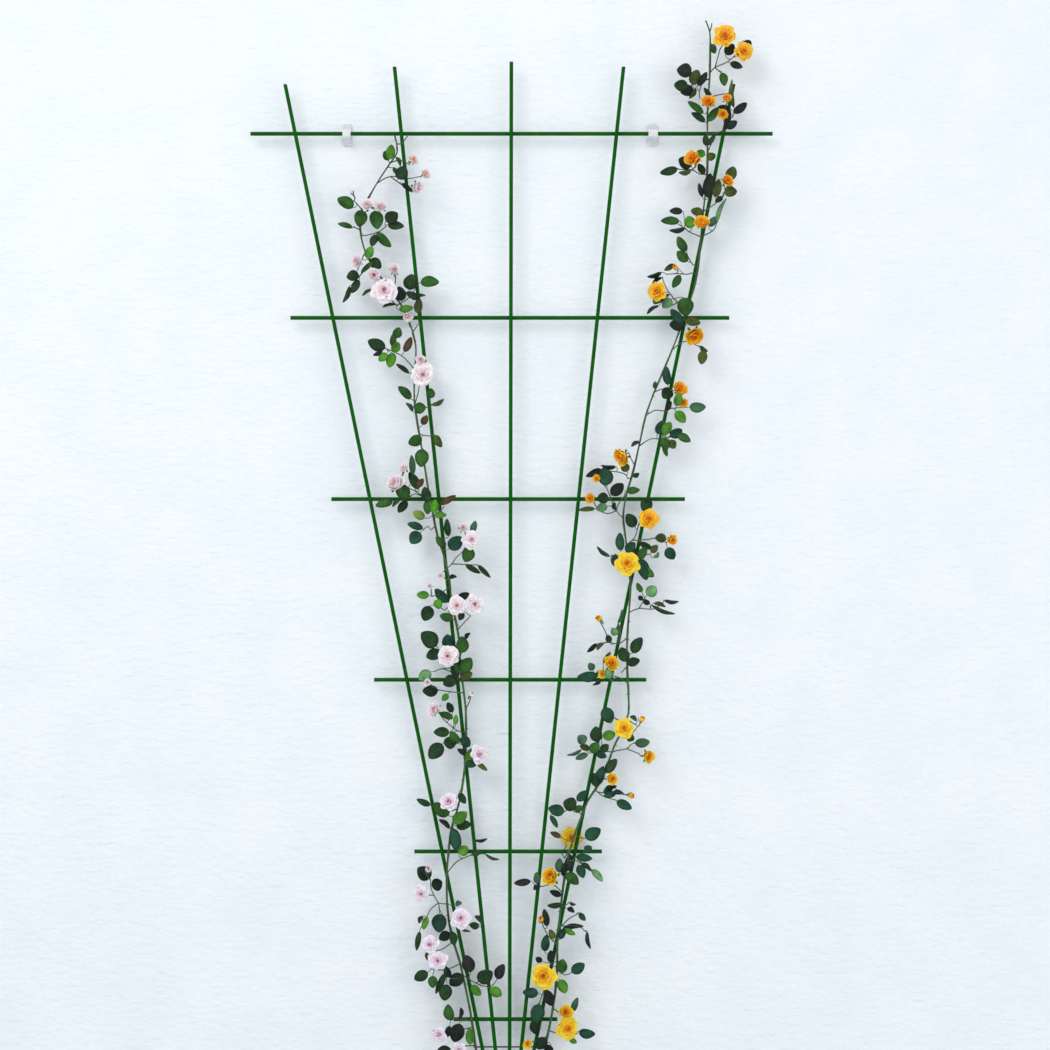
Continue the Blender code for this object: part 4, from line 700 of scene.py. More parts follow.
# Leaves: x and z of the base, x and z of the tip, width, then the layer that it lies in and
# its tone, which is partly painted light and painted shade.
# Layers: b back, m middle, f forward, o out in front of a bloom.
PINK_LEAVES = [
    (-192, 1522, -187, 1546, 13, "fb"), (-193, 1521, -199, 1536, 11, "mg"),
    (-181, 1527, -173, 1513, 5, "bg"), (-178, 1492, -166, 1512, 18, "bd"),
    (-172, 1485, -154, 1471, 7, "bk"), (-186, 1509, -176, 1503, 5, "mg"),
    (-249, 1446, -274, 1462, 18, "mg"), (-250, 1414, -274, 1421, 8, "mg"),
    (-235, 1442, -240, 1415, 18, "fg"), (-214, 1441, -210, 1411, 19, "fg"),
    (-197, 1424, -178, 1437, 18, "md"), (-194, 1419, -168, 1416, 12, "bd"),
    (-211, 1406, -189, 1383, 13, "mg"), (-211, 1403, -220, 1384, 12, "bd"),
    (-226, 1364, -219, 1384, 13, "fb"), (-222, 1364, -205, 1350, 15, "bd"),
    (-218, 1359, -237, 1342, 7, "mg"), (-240, 1338, -260, 1336, 16, "bd"),
    (-240, 1331, -252, 1310, 11, "bd"), (-255, 1321, -266, 1295, 6, "bd"),
    (-217, 1316, -235, 1305, 6, "bd"), (-160, 1315, -155, 1340, 19, "bd"),
    (-142, 1326, -112, 1328, 17, "mg"), (-172, 1297, -176, 1320, 17, "mk"),
    (-146, 1300, -165, 1311, 11, "bd"), (-148, 1303, -134, 1307, 4, "bd"),
    (-176, 1283, -153, 1287, 10, "fb"), (-182, 1292, -203, 1288, 5, "bk"),
    (-146, 1277, -144, 1302, 12, "mo"), (-180, 1238, -176, 1255, 13, "mg"),
    (-198, 1222, -226, 1234, 17, "bd"), (-184, 1222, -185, 1246, 10, "mg"),
    (-186, 1216, -176, 1231, 13, "fb"), (-168, 1216, -156, 1240, 11, "mr"),
    (-203, 1220, -217, 1210, 6, "bk"), (-195, 1213, -208, 1201, 11, "fb"),
    (-184, 1214, -192, 1191, 15, "fb"), (-160, 1182, -181, 1197, 7, "bd"),
    (-157, 1141, -177, 1161, 13, "mg"), (-154, 1121, -165, 1135, 6, "bs"),
    (-152, 1127, -133, 1127, 16, "mg"), (-128, 1142, -124, 1158, 13, "mg"),
    (-124, 1131, -104, 1140, 5, "mo"), (-139, 1100, -131, 1115, 10, "br"),
    (-140, 1080, -161, 1069, 16, "mg"), (-119, 1083, -108, 1064, 12, "bo"),
    (-139, 1061, -141, 1032, 19, "fg"), (-154, 1020, -156, 1052, 9, "ms"),
    (-145, 997, -160, 1025, 13, "bd"), (-162, 983, -179, 1005, 19, "fg"),
    (-148, 1000, -137, 1014, 9, "mr"), (-131, 977, -135, 1001, 14, "fd"),
    (-186, 977, -214, 971, 13, "mg"), (-175, 979, -187, 969, 6, "mg"),
    (-163, 978, -178, 960, 12, "bd"), (-128, 981, -131, 957, 13, "mg"),
    (-121, 959, -118, 981, 12, "fb"), (-120, 956, -100, 956, 9, "fb"),
    (-111, 973, -85, 987, 9, "mr"), (-135, 951, -153, 961, 12, "fy"),
    (-138, 934, -163, 943, 11, "mt"), (-142, 928, -158, 911, 18, "mt"),
    (-97, 922, -100, 950, 10, "md"), (-60, 928, -54, 947, 9, "bs"), (-96, 902, -76, 921, 19, "mt"),
    (-62, 904, -71, 881, 18, "mg"), (-70, 877, -46, 863, 8, "md"), (-50, 876, -30, 856, 7, "md"),
    (-102, 905, -117, 922, 11, "bg"), (-96, 855, -84, 858, 3, "bk"),
    (-98, 817, -119, 838, 14, "bt"), (-128, 828, -148, 829, 11, "fb"),
    (-113, 822, -113, 806, 13, "fb"), (-127, 811, -136, 787, 18, "md"),
    (-84, 822, -64, 831, 11, "bk"), (-91, 790, -111, 796, 12, "mg"), (-74, 801, -80, 788, 9, "bp"),
    (-116, 747, -140, 769, 23, "md"), (-97, 744, -99, 766, 17, "bt"),
    (-110, 738, -133, 729, 16, "bd"), (-76, 736, -75, 763, 18, "mg"), (-70, 758, -63, 768, 4, "bk"),
    (-77, 706, -61, 728, 18, "mg"), (-84, 706, -80, 730, 12, "fg"), (-78, 696, -59, 704, 13, "bo"),
    (-83, 696, -92, 716, 11, "md"), (-125, 706, -144, 694, 16, "fl"),
    (-84, 694, -106, 686, 18, "bd"), (-114, 676, -139, 675, 16, "bk"),
    (-98, 671, -107, 660, 9, "fb"), (-91, 641, -99, 657, 10, "bk"), (-90, 632, -111, 641, 10, "mg"),
    (-86, 622, -85, 638, 7, "fb"), (-96, 609, -121, 610, 14, "bd"), (-80, 592, -95, 611, 13, "mg"),
    (-94, 603, -95, 582, 17, "bd"), (-107, 591, -128, 568, 20, "md"),
    (-75, 604, -64, 586, 14, "mt"), (-67, 574, -83, 583, 8, "bk"), (-66, 560, -60, 584, 13, "fb"),
    (-70, 561, -52, 558, 11, "mt"), (-53, 563, -35, 548, 7, "mo"), (-80, 513, -70, 496, 10, "md"),
    (-126, 493, -148, 503, 9, "bd"), (-97, 477, -121, 497, 18, "mg"),
    (-90, 466, -67, 483, 16, "fb"), (-85, 460, -61, 463, 14, "bd"), (-95, 456, -112, 471, 4, "bk"),
    (-90, 456, -82, 418, 16, "bt"), (-56, 437, -35, 440, 5, "bk"), (-80, 416, -67, 428, 15, "fb"),
    (-60, 415, -46, 419, 10, "mg"), (-38, 415, -16, 407, 5, "mo"), (-127, 376, -146, 394, 20, "bk"),
    (-124, 364, -107, 370, 18, "bk"), (-131, 316, -137, 296, 9, "fb"),
    (-138, 316, -145, 305, 4, "bk"), (-143, 292, -148, 262, 8, "md"),
    (-108, 320, -114, 290, 22, "mt"), (-96, 290, -112, 279, 14, "bk"),
    (-92, 292, -88, 270, 12, "md"), (-86, 334, -76, 338, 6, "ms"), (-80, 301, -62, 291, 6, "mo"),
    (-48, 300, -64, 303, 10, "md"), (-43, 306, -55, 317, 4, "bd"), (-133, 258, -128, 244, 7, "bg"),
    (-130, 227, -152, 215, 15, "md"), (-122, 222, -122, 203, 13, "fg"),
    (-102, 226, -118, 192, 9, "md"), (-100, 208, -104, 182, 18, "md"),
    (-95, 218, -103, 236, 10, "bk"), (-74, 222, -96, 206, 18, "bk"), (-62, 227, -70, 254, 18, "mp"),
    (-60, 207, -46, 190, 12, "fb"), (-50, 213, -27, 229, 20, "md"), (-20, 216, -9, 240, 15, "bp"),
    (-31, 201, -12, 190, 14, "fb"), (-94, 151, -98, 177, 15, "fg"), (-79, 152, -77, 171, 5, "bp"),
    (-62, 112, -64, 138, 12, "fb"), (-80, 145, -88, 114, 20, "bk"), (-95, 142, -101, 122, 9, "mk"),
    (-94, 104, -115, 104, 5, "bk")]
YELLOW_LEAVES = [
    (290, 1660, 267, 1667, 22, "mk"), (291, 1643, 301, 1666, 16, "bo"),
    (284, 1640, 262, 1641, 16, "fd"), (293, 1637, 273, 1630, 16, "bk"),
    (300, 1640, 315, 1662, 10, "mk"), (322, 1707, 328, 1692, 10, "bg"),
    (345, 1690, 358, 1707, 14, "bk"), (374, 1712, 384, 1700, 14, "bk"),
    (352, 1677, 372, 1670, 10, "bk"), (339, 1661, 343, 1640, 12, "mg"),
    (358, 1605, 354, 1651, 6, "mo"), (297, 1637, 287, 1620, 5, "mo"),
    (309, 1596, 284, 1615, 10, "fg"), (312, 1583, 290, 1598, 10, "bd"),
    (322, 1620, 310, 1637, 7, "mk"), (317, 1583, 334, 1606, 11, "fg"),
    (352, 1604, 333, 1608, 8, "bk"), (357, 1597, 379, 1613, 12, "mk"),
    (346, 1572, 363, 1584, 11, "mk"), (344, 1570, 352, 1603, 8, "bk"),
    (313, 1545, 313, 1564, 9, "bd"), (316, 1545, 328, 1562, 7, "md"),
    (312, 1530, 298, 1535, 11, "fb"), (315, 1522, 328, 1531, 13, "fo"),
    (290, 1512, 270, 1524, 18, "bk"), (268, 1508, 240, 1501, 12, "md"),
    (290, 1505, 270, 1502, 6, "bo"), (311, 1500, 301, 1516, 10, "md"),
    (350, 1489, 358, 1512, 15, "fo"), (342, 1470, 363, 1472, 16, "mo"),
    (316, 1462, 320, 1501, 16, "bk"), (328, 1462, 334, 1492, 12, "mo"),
    (308, 1463, 302, 1486, 7, "bk"), (340, 1463, 328, 1455, 8, "bk"),
    (330, 1420, 345, 1462, 5, "ml"), (276, 1440, 255, 1441, 10, "bk"),
    (271, 1424, 241, 1425, 12, "mg"), (290, 1413, 285, 1433, 15, "mb"),
    (298, 1433, 302, 1447, 17, "bo"), (318, 1416, 330, 1432, 10, "ms"),
    (280, 1413, 255, 1410, 4, "bk"), (282, 1376, 268, 1400, 13, "mg"),
    (284, 1360, 267, 1376, 14, "fg"), (262, 1356, 247, 1346, 8, "bo"),
    (272, 1338, 260, 1318, 11, "fg"), (243, 1343, 220, 1335, 6, "bd"),
    (243, 1335, 227, 1323, 6, "bk"), (240, 1306, 230, 1292, 12, "mg"),
    (255, 1308, 240, 1296, 6, "bk"), (258, 1300, 244, 1286, 14, "fl"),
    (238, 1290, 219, 1276, 5, "bk"), (276, 1302, 283, 1273, 24, "fg"),
    (275, 1262, 257, 1284, 13, "mt"), (278, 1258, 255, 1260, 17, "bk"),
    (280, 1266, 305, 1262, 13, "mo"), (304, 1225, 316, 1216, 3, "bo"),
    (309, 1218, 306, 1196, 13, "mo"), (253, 1163, 250, 1193, 12, "mt"),
    (232, 1157, 232, 1169, 7, "mg"), (257, 1158, 245, 1142, 17, "bd"),
    (264, 1128, 269, 1150, 13, "ob"), (250, 1122, 258, 1138, 8, "bk"),
    (265, 1121, 280, 1103, 14, "fb"), (287, 1128, 313, 1128, 15, "ms"),
    (236, 1085, 246, 1107, 14, "bt"), (245, 1085, 257, 1104, 14, "fb"),
    (243, 1076, 250, 1088, 7, "ml"), (256, 1082, 276, 1092, 14, "bt"),
    (268, 1084, 289, 1073, 12, "mg"), (243, 1078, 252, 1060, 14, "fg"),
    (255, 1075, 264, 1062, 12, "mo"), (246, 1068, 251, 1049, 7, "mg"),
    (208, 1073, 194, 1065, 5, "bk"), (188, 1025, 180, 1040, 12, "mo"),
    (170, 1033, 146, 1034, 5, "bk"), (146, 1029, 122, 1017, 10, "bp"),
    (155, 1003, 150, 1032, 21, "ft"), (197, 1017, 207, 1022, 7, "md"),
    (162, 988, 182, 1006, 16, "bk"), (186, 994, 208, 996, 10, "fg"), (158, 983, 140, 983, 16, "bd"),
    (156, 970, 138, 965, 12, "fl"), (136, 966, 110, 964, 7, "bo"), (167, 976, 169, 963, 6, "mk"),
    (226, 966, 210, 978, 18, "bd"), (200, 937, 187, 958, 16, "md"), (178, 899, 176, 928, 13, "bt"),
    (250, 918, 232, 920, 13, "mo"), (252, 904, 262, 885, 16, "mt"), (186, 897, 200, 912, 14, "mt"),
    (190, 893, 206, 900, 14, "bt"), (208, 912, 228, 902, 9, "bd"), (226, 896, 236, 908, 10, "mo"),
    (206, 886, 218, 905, 12, "fg"), (230, 888, 238, 897, 6, "ml"), (208, 886, 219, 852, 17, "mt"),
    (215, 872, 230, 857, 12, "bb"), (160, 890, 139, 905, 6, "bd"), (170, 893, 167, 874, 12, "bt"),
    (211, 833, 203, 848, 8, "mg"), (219, 828, 234, 842, 16, "fl"), (212, 820, 206, 827, 7, "bk"),
    (224, 814, 212, 821, 8, "bk"), (247, 820, 270, 817, 6, "bd"), (230, 815, 249, 810, 4, "mo"),
    (227, 812, 264, 798, 6, "md"), (173, 783, 180, 806, 5, "bs"), (177, 765, 173, 783, 6, "ms"),
    (172, 765, 163, 776, 11, "fl"), (160, 752, 156, 765, 9, "bd"), (139, 751, 124, 737, 7, "bk"),
    (150, 752, 139, 741, 6, "mo"), (150, 720, 161, 738, 7, "mo"), (186, 722, 178, 745, 16, "bd"),
    (196, 736, 211, 761, 16, "md"), (188, 718, 208, 725, 13, "md"), (140, 700, 108, 697, 15, "mt"),
    (138, 699, 149, 709, 8, "mg"), (158, 697, 156, 712, 13, "ol"), (133, 708, 127, 720, 11, "bs"),
    (146, 695, 133, 684, 4, "bk"), (151, 649, 162, 624, 18, "mt"), (203, 628, 192, 635, 6, "bg"),
    (149, 602, 169, 608, 14, "fb"), (139, 594, 138, 619, 17, "bd"), (120, 592, 110, 605, 15, "fs"),
    (128, 582, 112, 588, 9, "br"), (115, 582, 92, 572, 5, "bs"), (125, 575, 105, 567, 9, "ms"),
    (130, 577, 142, 594, 14, "fg"), (145, 580, 158, 590, 12, "md"), (138, 577, 155, 570, 10, "mt"),
    (196, 606, 189, 595, 11, "mg"), (200, 592, 224, 594, 13, "ms"), (154, 545, 171, 567, 14, "md"),
    (137, 524, 150, 556, 14, "bt"), (140, 522, 134, 545, 12, "bd"), (163, 524, 150, 512, 12, "bt"),
    (156, 517, 171, 524, 4, "mk"), (170, 513, 150, 508, 9, "mt"), (165, 513, 183, 512, 5, "bt"),
    (108, 500, 124, 516, 12, "bt"), (106, 490, 86, 499, 20, "md"), (104, 483, 117, 492, 10, "mg"),
    (171, 500, 195, 488, 13, "mt"), (87, 482, 62, 489, 16, "bt"), (65, 477, 77, 457, 8, "mt"),
    (82, 442, 65, 450, 8, "br"), (121, 441, 145, 456, 18, "mt"), (120, 421, 131, 428, 13, "mt"),
    (106, 411, 132, 408, 11, "bt"), (110, 398, 118, 378, 13, "mt"), (114, 400, 131, 388, 6, "bd"),
    (131, 391, 149, 372, 10, "ml"), (80, 386, 80, 409, 12, "ms"), (86, 380, 87, 402, 8, "mk"),
    (92, 388, 98, 414, 14, "bk"), (90, 385, 110, 368, 15, "fg"), (44, 368, 43, 387, 10, "bs"),
    (34, 372, 7, 368, 10, "bp"), (48, 364, 38, 359, 6, "bk"), (83, 349, 64, 356, 9, "bk"),
    (84, 336, 60, 334, 9, "fd"), (96, 339, 106, 335, 5, "mo"), (92, 328, 104, 323, 3, "bk"),
    (111, 322, 121, 309, 8, "mt"), (60, 300, 55, 328, 10, "bk"), (71, 281, 64, 296, 9, "fo"),
    (56, 260, 59, 287, 12, "bt"), (66, 242, 66, 262, 11, "bk"), (52, 244, 42, 250, 9, "bk"),
    (80, 280, 90, 298, 10, "mt"), (88, 297, 105, 287, 8, "fb"), (84, 295, 118, 301, 4, "bk"),
    (124, 291, 128, 264, 6, "bd"), (82, 226, 85, 248, 16, "fg"), (99, 227, 120, 240, 15, "mt"),
    (80, 216, 90, 194, 14, "fb"), (46, 194, 21, 195, 14, "mt"), (58, 198, 68, 172, 14, "bp"),
    (46, 176, 42, 146, 20, "bt"), (100, 163, 109, 186, 9, "bs"), (111, 133, 137, 127, 16, "mt"),
    (96, 122, 107, 114, 8, "mb"), (38, 150, 44, 126, 14, "bk"), (58, 122, 44, 104, 16, "bk"),
    (66, 110, 60, 98, 14, "bk")]
LAYER_DEPTH = {"b": -12.5, "m": -15.5, "f": -18.5, "o": -47.0}
# Tones: k nearly black, d dark, g mid green, b bright, y yellowish, t bluish, l pale, o olive,
# r reddish, p purplish black, s grey green. A leaf's tone holds how lit it is as well as its
# colour: k, d and p are painted shade, and b, y and l are painted sunlight.
LEAF_TONES_AND_PAINTED_LIGHT = {
    "k": (0.0028, 0.0130, 0.0090), "d": (0.0060, 0.0360, 0.0090), "g": (0.0170, 0.0880, 0.0100),
    "b": (0.0550, 0.2300, 0.0120), "y": (0.1700, 0.2900, 0.0350), "t": (0.0045, 0.0560, 0.0300),
    "l": (0.1100, 0.2900, 0.1200), "o": (0.0500, 0.0850, 0.0110), "r": (0.0640, 0.0420, 0.0160),
    "p": (0.0120, 0.0135, 0.0160), "s": (0.0380, 0.1200, 0.0620)}
LEAF_THICK = 0.45
LEAF_FULLNESS = 1.18      # the blades are a little wider than they look when they are turned
# Shape of a leaf, in shares of its length or width
LEAF_ARCH = 0.24
LEAF_FOLD = 0.16
LEAF_WAVE = 0.02
LEAF_DROOP = 0.06
TOOTH_OUT = 0.028
TOOTH_IN = 0.018
LEAF_ROWS = 16
MOST_ROLL = 26            # degrees that a leaf may be turned about its rib


def make_veins():
    """A leaf's midrib and side veins as a mask, read from the map along and across it."""
    tree, given, out = shader_group("leaf_veins", [("Number", "NodeSocketFloat", 7.0)],
                                    [("Vein", "NodeSocketFloat"), ("Rim", "NodeSocketFloat")])
    chart = put(tree, "ShaderNodeUVMap", {"uv_map": "leaf"})
    parts = put(tree, "ShaderNodeSeparateXYZ", links={"Vector": chart.outputs["UV"]})
    shifted = math_socket(tree, "SUBTRACT", parts.outputs["X"], 0.5)
    aside = math_socket(tree, "ABSOLUTE", shifted)
    midrib = put(tree, "ShaderNodeMapRange", values={"From Min": 0.045, "From Max": 0.012},
                 links={"Value": aside})
    slant = math_socket(tree, "MULTIPLY", aside, 0.8)
    run = math_socket(tree, "SUBTRACT", parts.outputs["Y"], slant)
    many = math_socket(tree, "MULTIPLY", run, given.outputs["Number"])
    cycle = math_socket(tree, "FRACT", many)
    from_middle = math_socket(tree, "SUBTRACT", cycle, 0.5)
    apart = math_socket(tree, "ABSOLUTE", from_middle)
    side_vein = put(tree, "ShaderNodeMapRange",
                    values={"From Min": 0.14, "From Max": 0.03, "To Max": 0.55},
                    links={"Value": apart})
    most = math_socket(tree, "MAXIMUM", midrib.outputs["Result"], side_vein.outputs["Result"])
    tree.links.new(most, out.inputs["Vein"])
    rim = put(tree, "ShaderNodeMapRange", {"interpolation_type": "SMOOTHSTEP"},
              {"From Min": 0.24, "From Max": 0.50}, {"Value": aside})
    tree.links.new(rim.outputs["Result"], out.inputs["Rim"])
    return tree


VEINS = make_veins()


# How the shades of a leaf come from its tone: light and dark patches, veins, rim
LEAF_SHADES = [((1.6, 1.45, 1.3), (0.004, 0.006, 0.0)), ((0.50, 0.52, 0.7), (0.0, 0.0, 0.0)),
               ((1.5, 1.3, 1.3), (0.020, 0.040, 0.012)), ((0.7, 0.34, 0.5), (0.010, 0.0, 0.0))]


def leaf_surface(name, tone):
    """Waxy leaf: patches of its tone, darker at the rim, with paler, sunken veins."""
    made, tree, shader = surface(name, 0.42)
    light, dark, pale, edge = [(*(t * g + a for t, g, a in zip(tone, gains, added)), 1)
                               for gains, added in LEAF_SHADES]
    patches = use_group(tree, MOTTLE, {"Light": light, "Dark": dark, "Size": 52.0})
    veins = use_group(tree, VEINS)
    faint = math_socket(tree, "MULTIPLY", veins.outputs["Vein"], 0.45)
    colour = put(tree, "ShaderNodeMix", {"data_type": "RGBA"}, {7: pale},
                 {0: faint, 6: patches.outputs["Colour"]})
    worn = math_socket(tree, "MULTIPLY", veins.outputs["Rim"], 0.72)
    rimmed = put(tree, "ShaderNodeMix", {"data_type": "RGBA"}, {7: edge},
                 {0: worn, 6: colour.outputs[2]})
    tree.links.new(rimmed.outputs[2], shader.inputs["Base Color"])
    shader.inputs["Specular IOR Level"].default_value = 0.20
    uneven = put(tree, "ShaderNodeMapRange", values={"To Min": 0.34, "To Max": 0.55},
                 links={"Value": patches.outputs["Mask"]})
    tree.links.new(uneven.outputs["Result"], shader.inputs["Roughness"])
    relief = put(tree, "ShaderNodeBump", {"invert": True}, {"Strength": 0.6, "Distance": 0.0006},
                 {"Height": veins.outputs["Vein"]})
    tree.links.new(relief.outputs["Normal"], shader.inputs["Normal"])
    return made


# One leaf material for each tone: besides the leaves' own colours, these are lit and shaded copies
# of one leaf, painted light and painted shade.
LEAF_SURFACES = [leaf_surface(f"leaf_tone_and_painted_light_{number:02d}", tone)
                 for number, tone in enumerate(LEAF_TONES_AND_PAINTED_LIGHT.values(), start=1)]
TONE_SLOT = {letter: number for number, letter in enumerate(LEAF_TONES_AND_PAINTED_LIGHT)}


def add_leaf(work, base, tip, width, roll, curl, slot):
    """An oval, finely toothed blade that is folded at its rib, bowed and a little wavy."""
    run = tip - base
    length = run.length
    run.normalize()
    face = (Vector((0, -1, 0)) + run * run.y).normalized()
    face = Matrix.Rotation(roll, 3, run) @ face
    side = run.cross(face)

    def at(share, across_share):
        u = 2 * across_share - 1
        oval = math.sin(math.pi * share ** 0.84) ** 0.62 if 0 < share < 1 else 0.0
        at_rim = abs(u) > 0.99
        tooth = 1.0 + (TOOTH_OUT if round(share * LEAF_ROWS) % 2 else -TOOTH_IN) * at_rim
        reach = u * width / 2 * oval * tooth
        bow = LEAF_ARCH * length * share * (1 - share) * (1 - 0.5 * curl)
        fold = LEAF_FOLD * abs(reach) + LEAF_WAVE * width * math.sin(9 * share + 3 * u)
        droop = -LEAF_DROOP * length * curl * share ** 3
        return base + run * share * length + side * reach + face * (fold + bow + droop)

    work.sheet(at, LEAF_ROWS, 8, slot)


def seen_over(table):
    return [(x, z, d / 2) for group in table.values() for x, z, d, *_ in group]


BLOOM_DISCS = seen_over(PINK_BLOOMS) + seen_over(YELLOW_BLOOMS)
STEM_SPANS = {"low": (92.0, 694.0), "middle": (694.0, 1255.0), "top": (1255.0, 1760.0)}
leaf_chance = random.Random(5)
SHOOT_COLOURS = {
    "low": ((0.030, 0.150, 0.034, 1), (0.036, 0.052, 0.020, 1)),
    "middle": ((0.045, 0.120, 0.030, 1), (0.056, 0.050, 0.024, 1)),
    "top": ((0.060, 0.075, 0.016, 1), (0.034, 0.026, 0.012, 1))}
SHOOT_SURFACES = {part: mottled_surface(f"shoot_{part}", light, dark,
                                        patch=60.0, roughness=0.5, grain=500.0, depth=0.0003)
                  for part, (light, dark) in SHOOT_COLOURS.items()}


def part_at(height):
    for part, (lowest, highest) in STEM_SPANS.items():
        if lowest <= height < highest:
            return part
    return "low"


def under_bloom(x, z, reach):
    return any(math.hypot(x - bx, z - bz) < r + reach for bx, bz, r in BLOOM_DISCS)


def nearest(spots, x, z, run_x, run_z):
    """The nearest point of the shoots, taken from behind the leaf's base where it can be."""
    def cost(spot):
        dx, dz = spot[0] - x, spot[2] - z
        ahead = dx * run_x + dz * run_z > 0.5
        return math.hypot(dx, dz) + (DETOUR if ahead else 0.0)

    return min(spots, key=cost)


for colour, route, twigs, leaves, blooms, buds in (
        ("pink", PINK_ROUTE, PINK_TWIGS, PINK_LEAVES, PINK_BLOOMS, PINK_BUDS),
        ("yellow", YELLOW_ROUTE, YELLOW_TWIGS, YELLOW_LEAVES, YELLOW_BLOOMS, YELLOW_BUDS)):
    shoots = {part: Work() for part in STEM_SPANS}
    greens = {part: Work() for part in STEM_SPANS}

    spots = []
    for part, span in STEM_SPANS.items():
        points = []
        for p in smooth_route(route, SHOOT_STEP):
            if span[0] <= p.y <= span[1]:
                turn = p.y / TWINE
                points.append(Vector((p.x + WINDING * math.sin(turn),
                                      SHOOT_DEPTH + WINDING_DEPTH * math.cos(turn), p.y)))
        shoots[part].tube(points, [SHOOT_R * 1.15] * len(points), 7)
        spots += points
    for twig in twigs:
        start = nearest(spots, *twig[0], 0, 0)
        reach = math.hypot(start.x - twig[0][0], start.z - twig[0][1])
        rest = twig[1:] if reach < TWIG_JOINT else twig
        course = smooth_route([(start.x, start.z), *rest], TWIG_STEP)
        points = [Vector((p.x, SHOOT_DEPTH - TWIG_RISE * k / len(course), p.y))
                  for k, p in enumerate(course)]
        radii = [SHOOT_R * (1.0 - TWIG_TAPER * k / len(course)) for k in range(len(course))]
        shoots[part_at(twig[0][1])].tube(points, radii, 6)
        spots += points

    for bx, bz, tx, tz, width, kind in leaves:
        layer, tone = kind
        tilt = leaf_chance.uniform(-1, 1)
        roll = math.radians(leaf_chance.uniform(-MOST_ROLL, MOST_ROLL))
        curl = leaf_chance.uniform(0, 1)
        length = math.hypot(tx - bx, tz - bz)
        depth = LAYER_DEPTH[layer]
        sway = 0.18 * length * tilt
        if layer != "o" and under_bloom((bx + tx) / 2, (bz + tz) / 2, length / 2):
            sway = max(min(sway, CALM_SWAY), -CALM_SWAY)
            depth = max(depth, LAYER_DEPTH["m"])
            roll *= 0.6
        base = Vector((bx, depth, bz))
        tip = Vector((tx, depth - sway, tz))
        if width <= NARROW:
            width, roll = EDGE_ON_WIDTH, math.radians(math.copysign(EDGE_ON_ROLL, tilt))
        add_leaf(greens[part_at(bz)], base, tip, width * LEAF_FULLNESS, roll, curl, TONE_SLOT[tone])
        run = (tip - base).normalized()
        root = nearest(spots, bx, bz, run.x, run.z)
        mid = root.lerp(base - run * 3.0, 0.6) + Vector((0, 0, -0.06 * (base - root).length))
        shoots[part_at(bz)].tube([root, mid, base - run * 1.2, base + run * 2.5],
                                 [PETIOLE_R * 1.2, PETIOLE_R, PETIOLE_R, PETIOLE_R * 0.6], 5)

    stalks = [(name == BEHIND_UPRIGHT, group[0]) for name, group in blooms.items()]
    for behind, (x, z, diameter, right, up, form) in stalks + [(False, bud) for bud in buds]:
        axis = bloom_axis(right, up)
        seat = bloom_centre(x, z, diameter, axis, form, behind) + axis * BACKS[form] * diameter / 2
        root = nearest(spots, x - right * diameter * 0.3, z - 0.3 * diameter, right, up + 0.4)
        lead = seat - axis * min(6.0, 0.5 * (seat - root).length)
        points = [root, root.lerp(lead, 0.5) + Vector((0, 0, -1.5)), lead, seat + axis * 0.6]
        radii = [SHOOT_R * 0.9, SHOOT_R * 0.85, SHOOT_R * 0.9, SHOOT_R * 1.3]
        if behind:
            points[1:2] = [Vector((x + dx, y, z + dz)) for dx, y, dz in BEHIND_BENDS]
            radii.insert(0, SHOOT_R)
        shoots[part_at(z)].tube(points, radii, 6)

    for part in STEM_SPANS:
        shoot = shoots[part].made(f"{colour}_shoots_{part}", [SHOOT_SURFACES[part]])
        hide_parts(f"{colour}_leafy_stem_{part}")
        foliage = greens[part].made(f"{colour}_leaves_{part}", LEAF_SURFACES, LEAF_THICK)

# Stage
# A pale rendered wall close behind the hooks and a plain pale floor.
# They are there to be looked at against, and the wall is seen from its front alone.
WALL_Y = 0.0275
STAGE_SIDE = 6
STAGE_FRONT = -8
WALL_TOP = 5


def plane(name, corners, made):
    mesh = bpy.data.meshes.new(name)
    mesh.from_pydata(corners, [], [(0, 1, 2, 3)])
    mesh.materials.append(made)
    flat = bpy.data.objects.new(name, mesh)
    bpy.context.scene.collection.objects.link(flat)


floor_paint = mottled_surface("floor_paint", (0.80, 0.81, 0.82, 1), (0.76, 0.77, 0.78, 1),
                              patch=6.0, roughness=0.7, grain=90.0, depth=0.0004)
plane("floor", [(-STAGE_SIDE, STAGE_FRONT, 0), (STAGE_SIDE, STAGE_FRONT, 0),
                (STAGE_SIDE, WALL_Y, 0), (-STAGE_SIDE, WALL_Y, 0)], floor_paint)
render_coat, wall_tree, wall_shader = surface("wall_render", 0.8)
wall_tint = use_group(wall_tree, MOTTLE, {"Light": (0.86, 0.90, 0.925, 1),
                                          "Dark": (0.82, 0.87, 0.90, 1), "Size": 9.0})
wall_tree.links.new(wall_tint.outputs["Colour"], wall_shader.inputs["Base Color"])
wall_place = put(wall_tree, "ShaderNodeTexCoord")
wall_strokes = put(wall_tree, "ShaderNodeMapping", values={"Scale": (55.0, 55.0, 130.0)},
                   links={"Vector": wall_place.outputs["Object"]})
wall_grain = put(wall_tree, "ShaderNodeTexNoise",
                 values={"Scale": 1.0, "Detail": 5.0, "Roughness": 0.55},
                 links={"Vector": wall_strokes.outputs["Vector"]})
wall_relief = put(wall_tree, "ShaderNodeBump", values={"Strength": 0.6, "Distance": 0.006},
                  links={"Height": wall_grain.outputs["Fac"]})
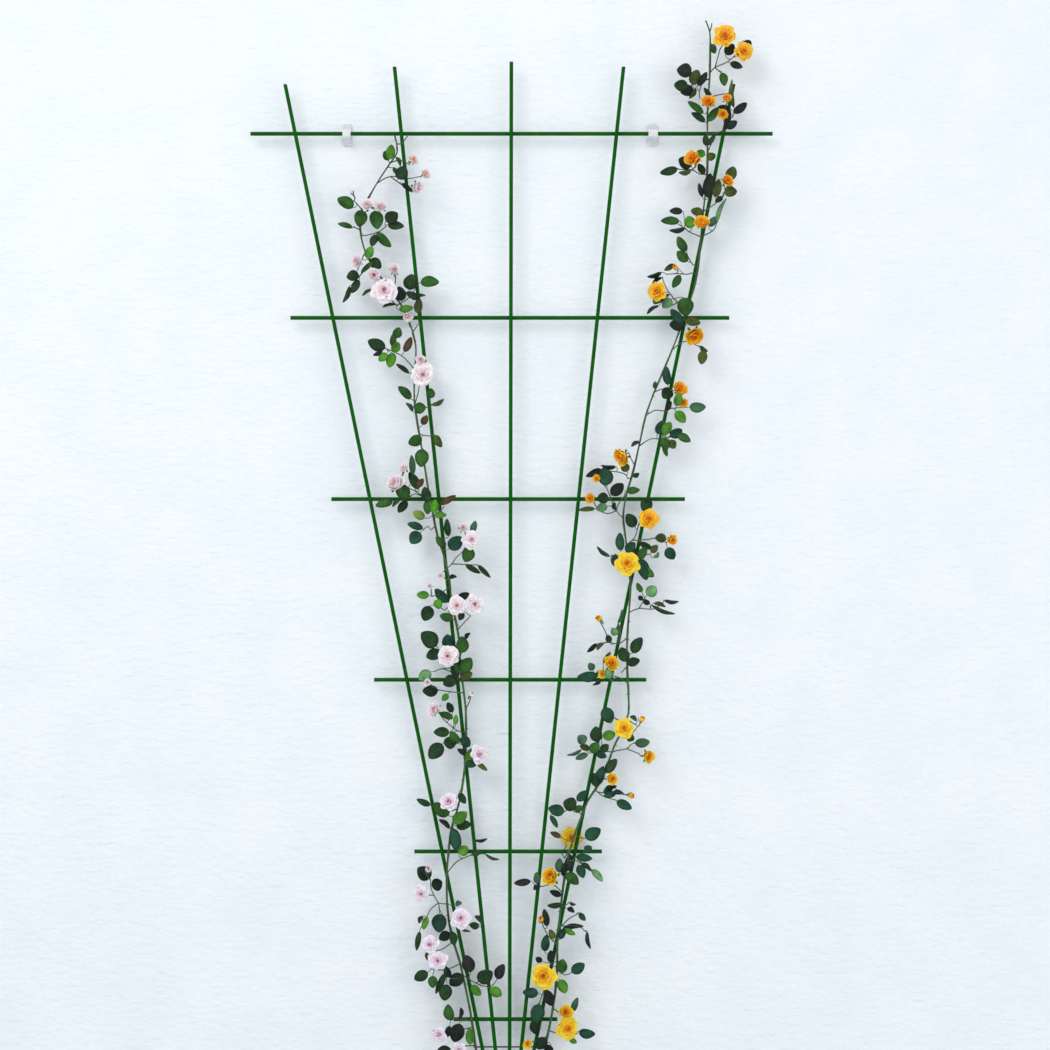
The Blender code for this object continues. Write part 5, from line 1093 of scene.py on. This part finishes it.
wall_tree.links.new(wall_relief.outputs["Normal"], wall_shader.inputs["Normal"])
side_seen = put(wall_tree, "ShaderNodeNewGeometry")
clear = put(wall_tree, "ShaderNodeBsdfTransparent")
one_sided = put(wall_tree, "ShaderNodeMixShader",
                links={0: side_seen.outputs["Backfacing"],
                       1: wall_shader.outputs[0], 2: clear.outputs[0]})
wall_tree.links.new(one_sided.outputs[0], wall_tree.nodes["Material Output"].inputs["Surface"])
plane("wall", [(-STAGE_SIDE, WALL_Y, 0), (STAGE_SIDE, WALL_Y, 0),
               (STAGE_SIDE, WALL_Y, WALL_TOP), (-STAGE_SIDE, WALL_Y, WALL_TOP)], render_coat)

# Light and camera
# Soft light from large panels and a pale sky, and a camera square to the wall, as in the photo.
for name, spot, size, power, aim in (
        ("main_light", (-1.8, -3.2, 3.4), 2.2, 64.0, (0.0, 0.0, 0.9)),
        ("fill_light", (2.4, -3.4, 1.0), 2.6, 32.0, (0.0, 0.0, 0.7))):
    data = bpy.data.lights.new(name, "AREA")
    data.size = size
    data.energy = power
    lamp = bpy.data.objects.new(name, data)
    lamp.location = spot
    lamp.rotation_euler = (Vector(aim) - Vector(spot)).to_track_quat("-Z", "Y").to_euler()
    bpy.context.scene.collection.objects.link(lamp)
sky = bpy.data.worlds.new("studio")
sky.use_nodes = True
sky.node_tree.nodes["Background"].inputs["Color"].default_value = (0.93, 0.96, 1.0, 1)
sky.node_tree.nodes["Background"].inputs["Strength"].default_value = 0.74
bpy.context.scene.world = sky
bpy.context.scene.view_settings.view_transform = "Standard"

VIEW_WIDTH = 1.68
VIEW_MIDDLE = (0.0248, 0.940)
DISTANCE = 4.0
SENSOR = 36.0
eye = bpy.data.cameras.new("camera")
eye.sensor_width = SENSOR
eye.lens = SENSOR * DISTANCE / VIEW_WIDTH
camera = bpy.data.objects.new("camera", eye)
camera.location = (VIEW_MIDDLE[0], -DISTANCE, VIEW_MIDDLE[1])
camera.rotation_euler = (math.radians(90), 0, 0)
bpy.context.scene.collection.objects.link(camera)
bpy.context.scene.camera = camera
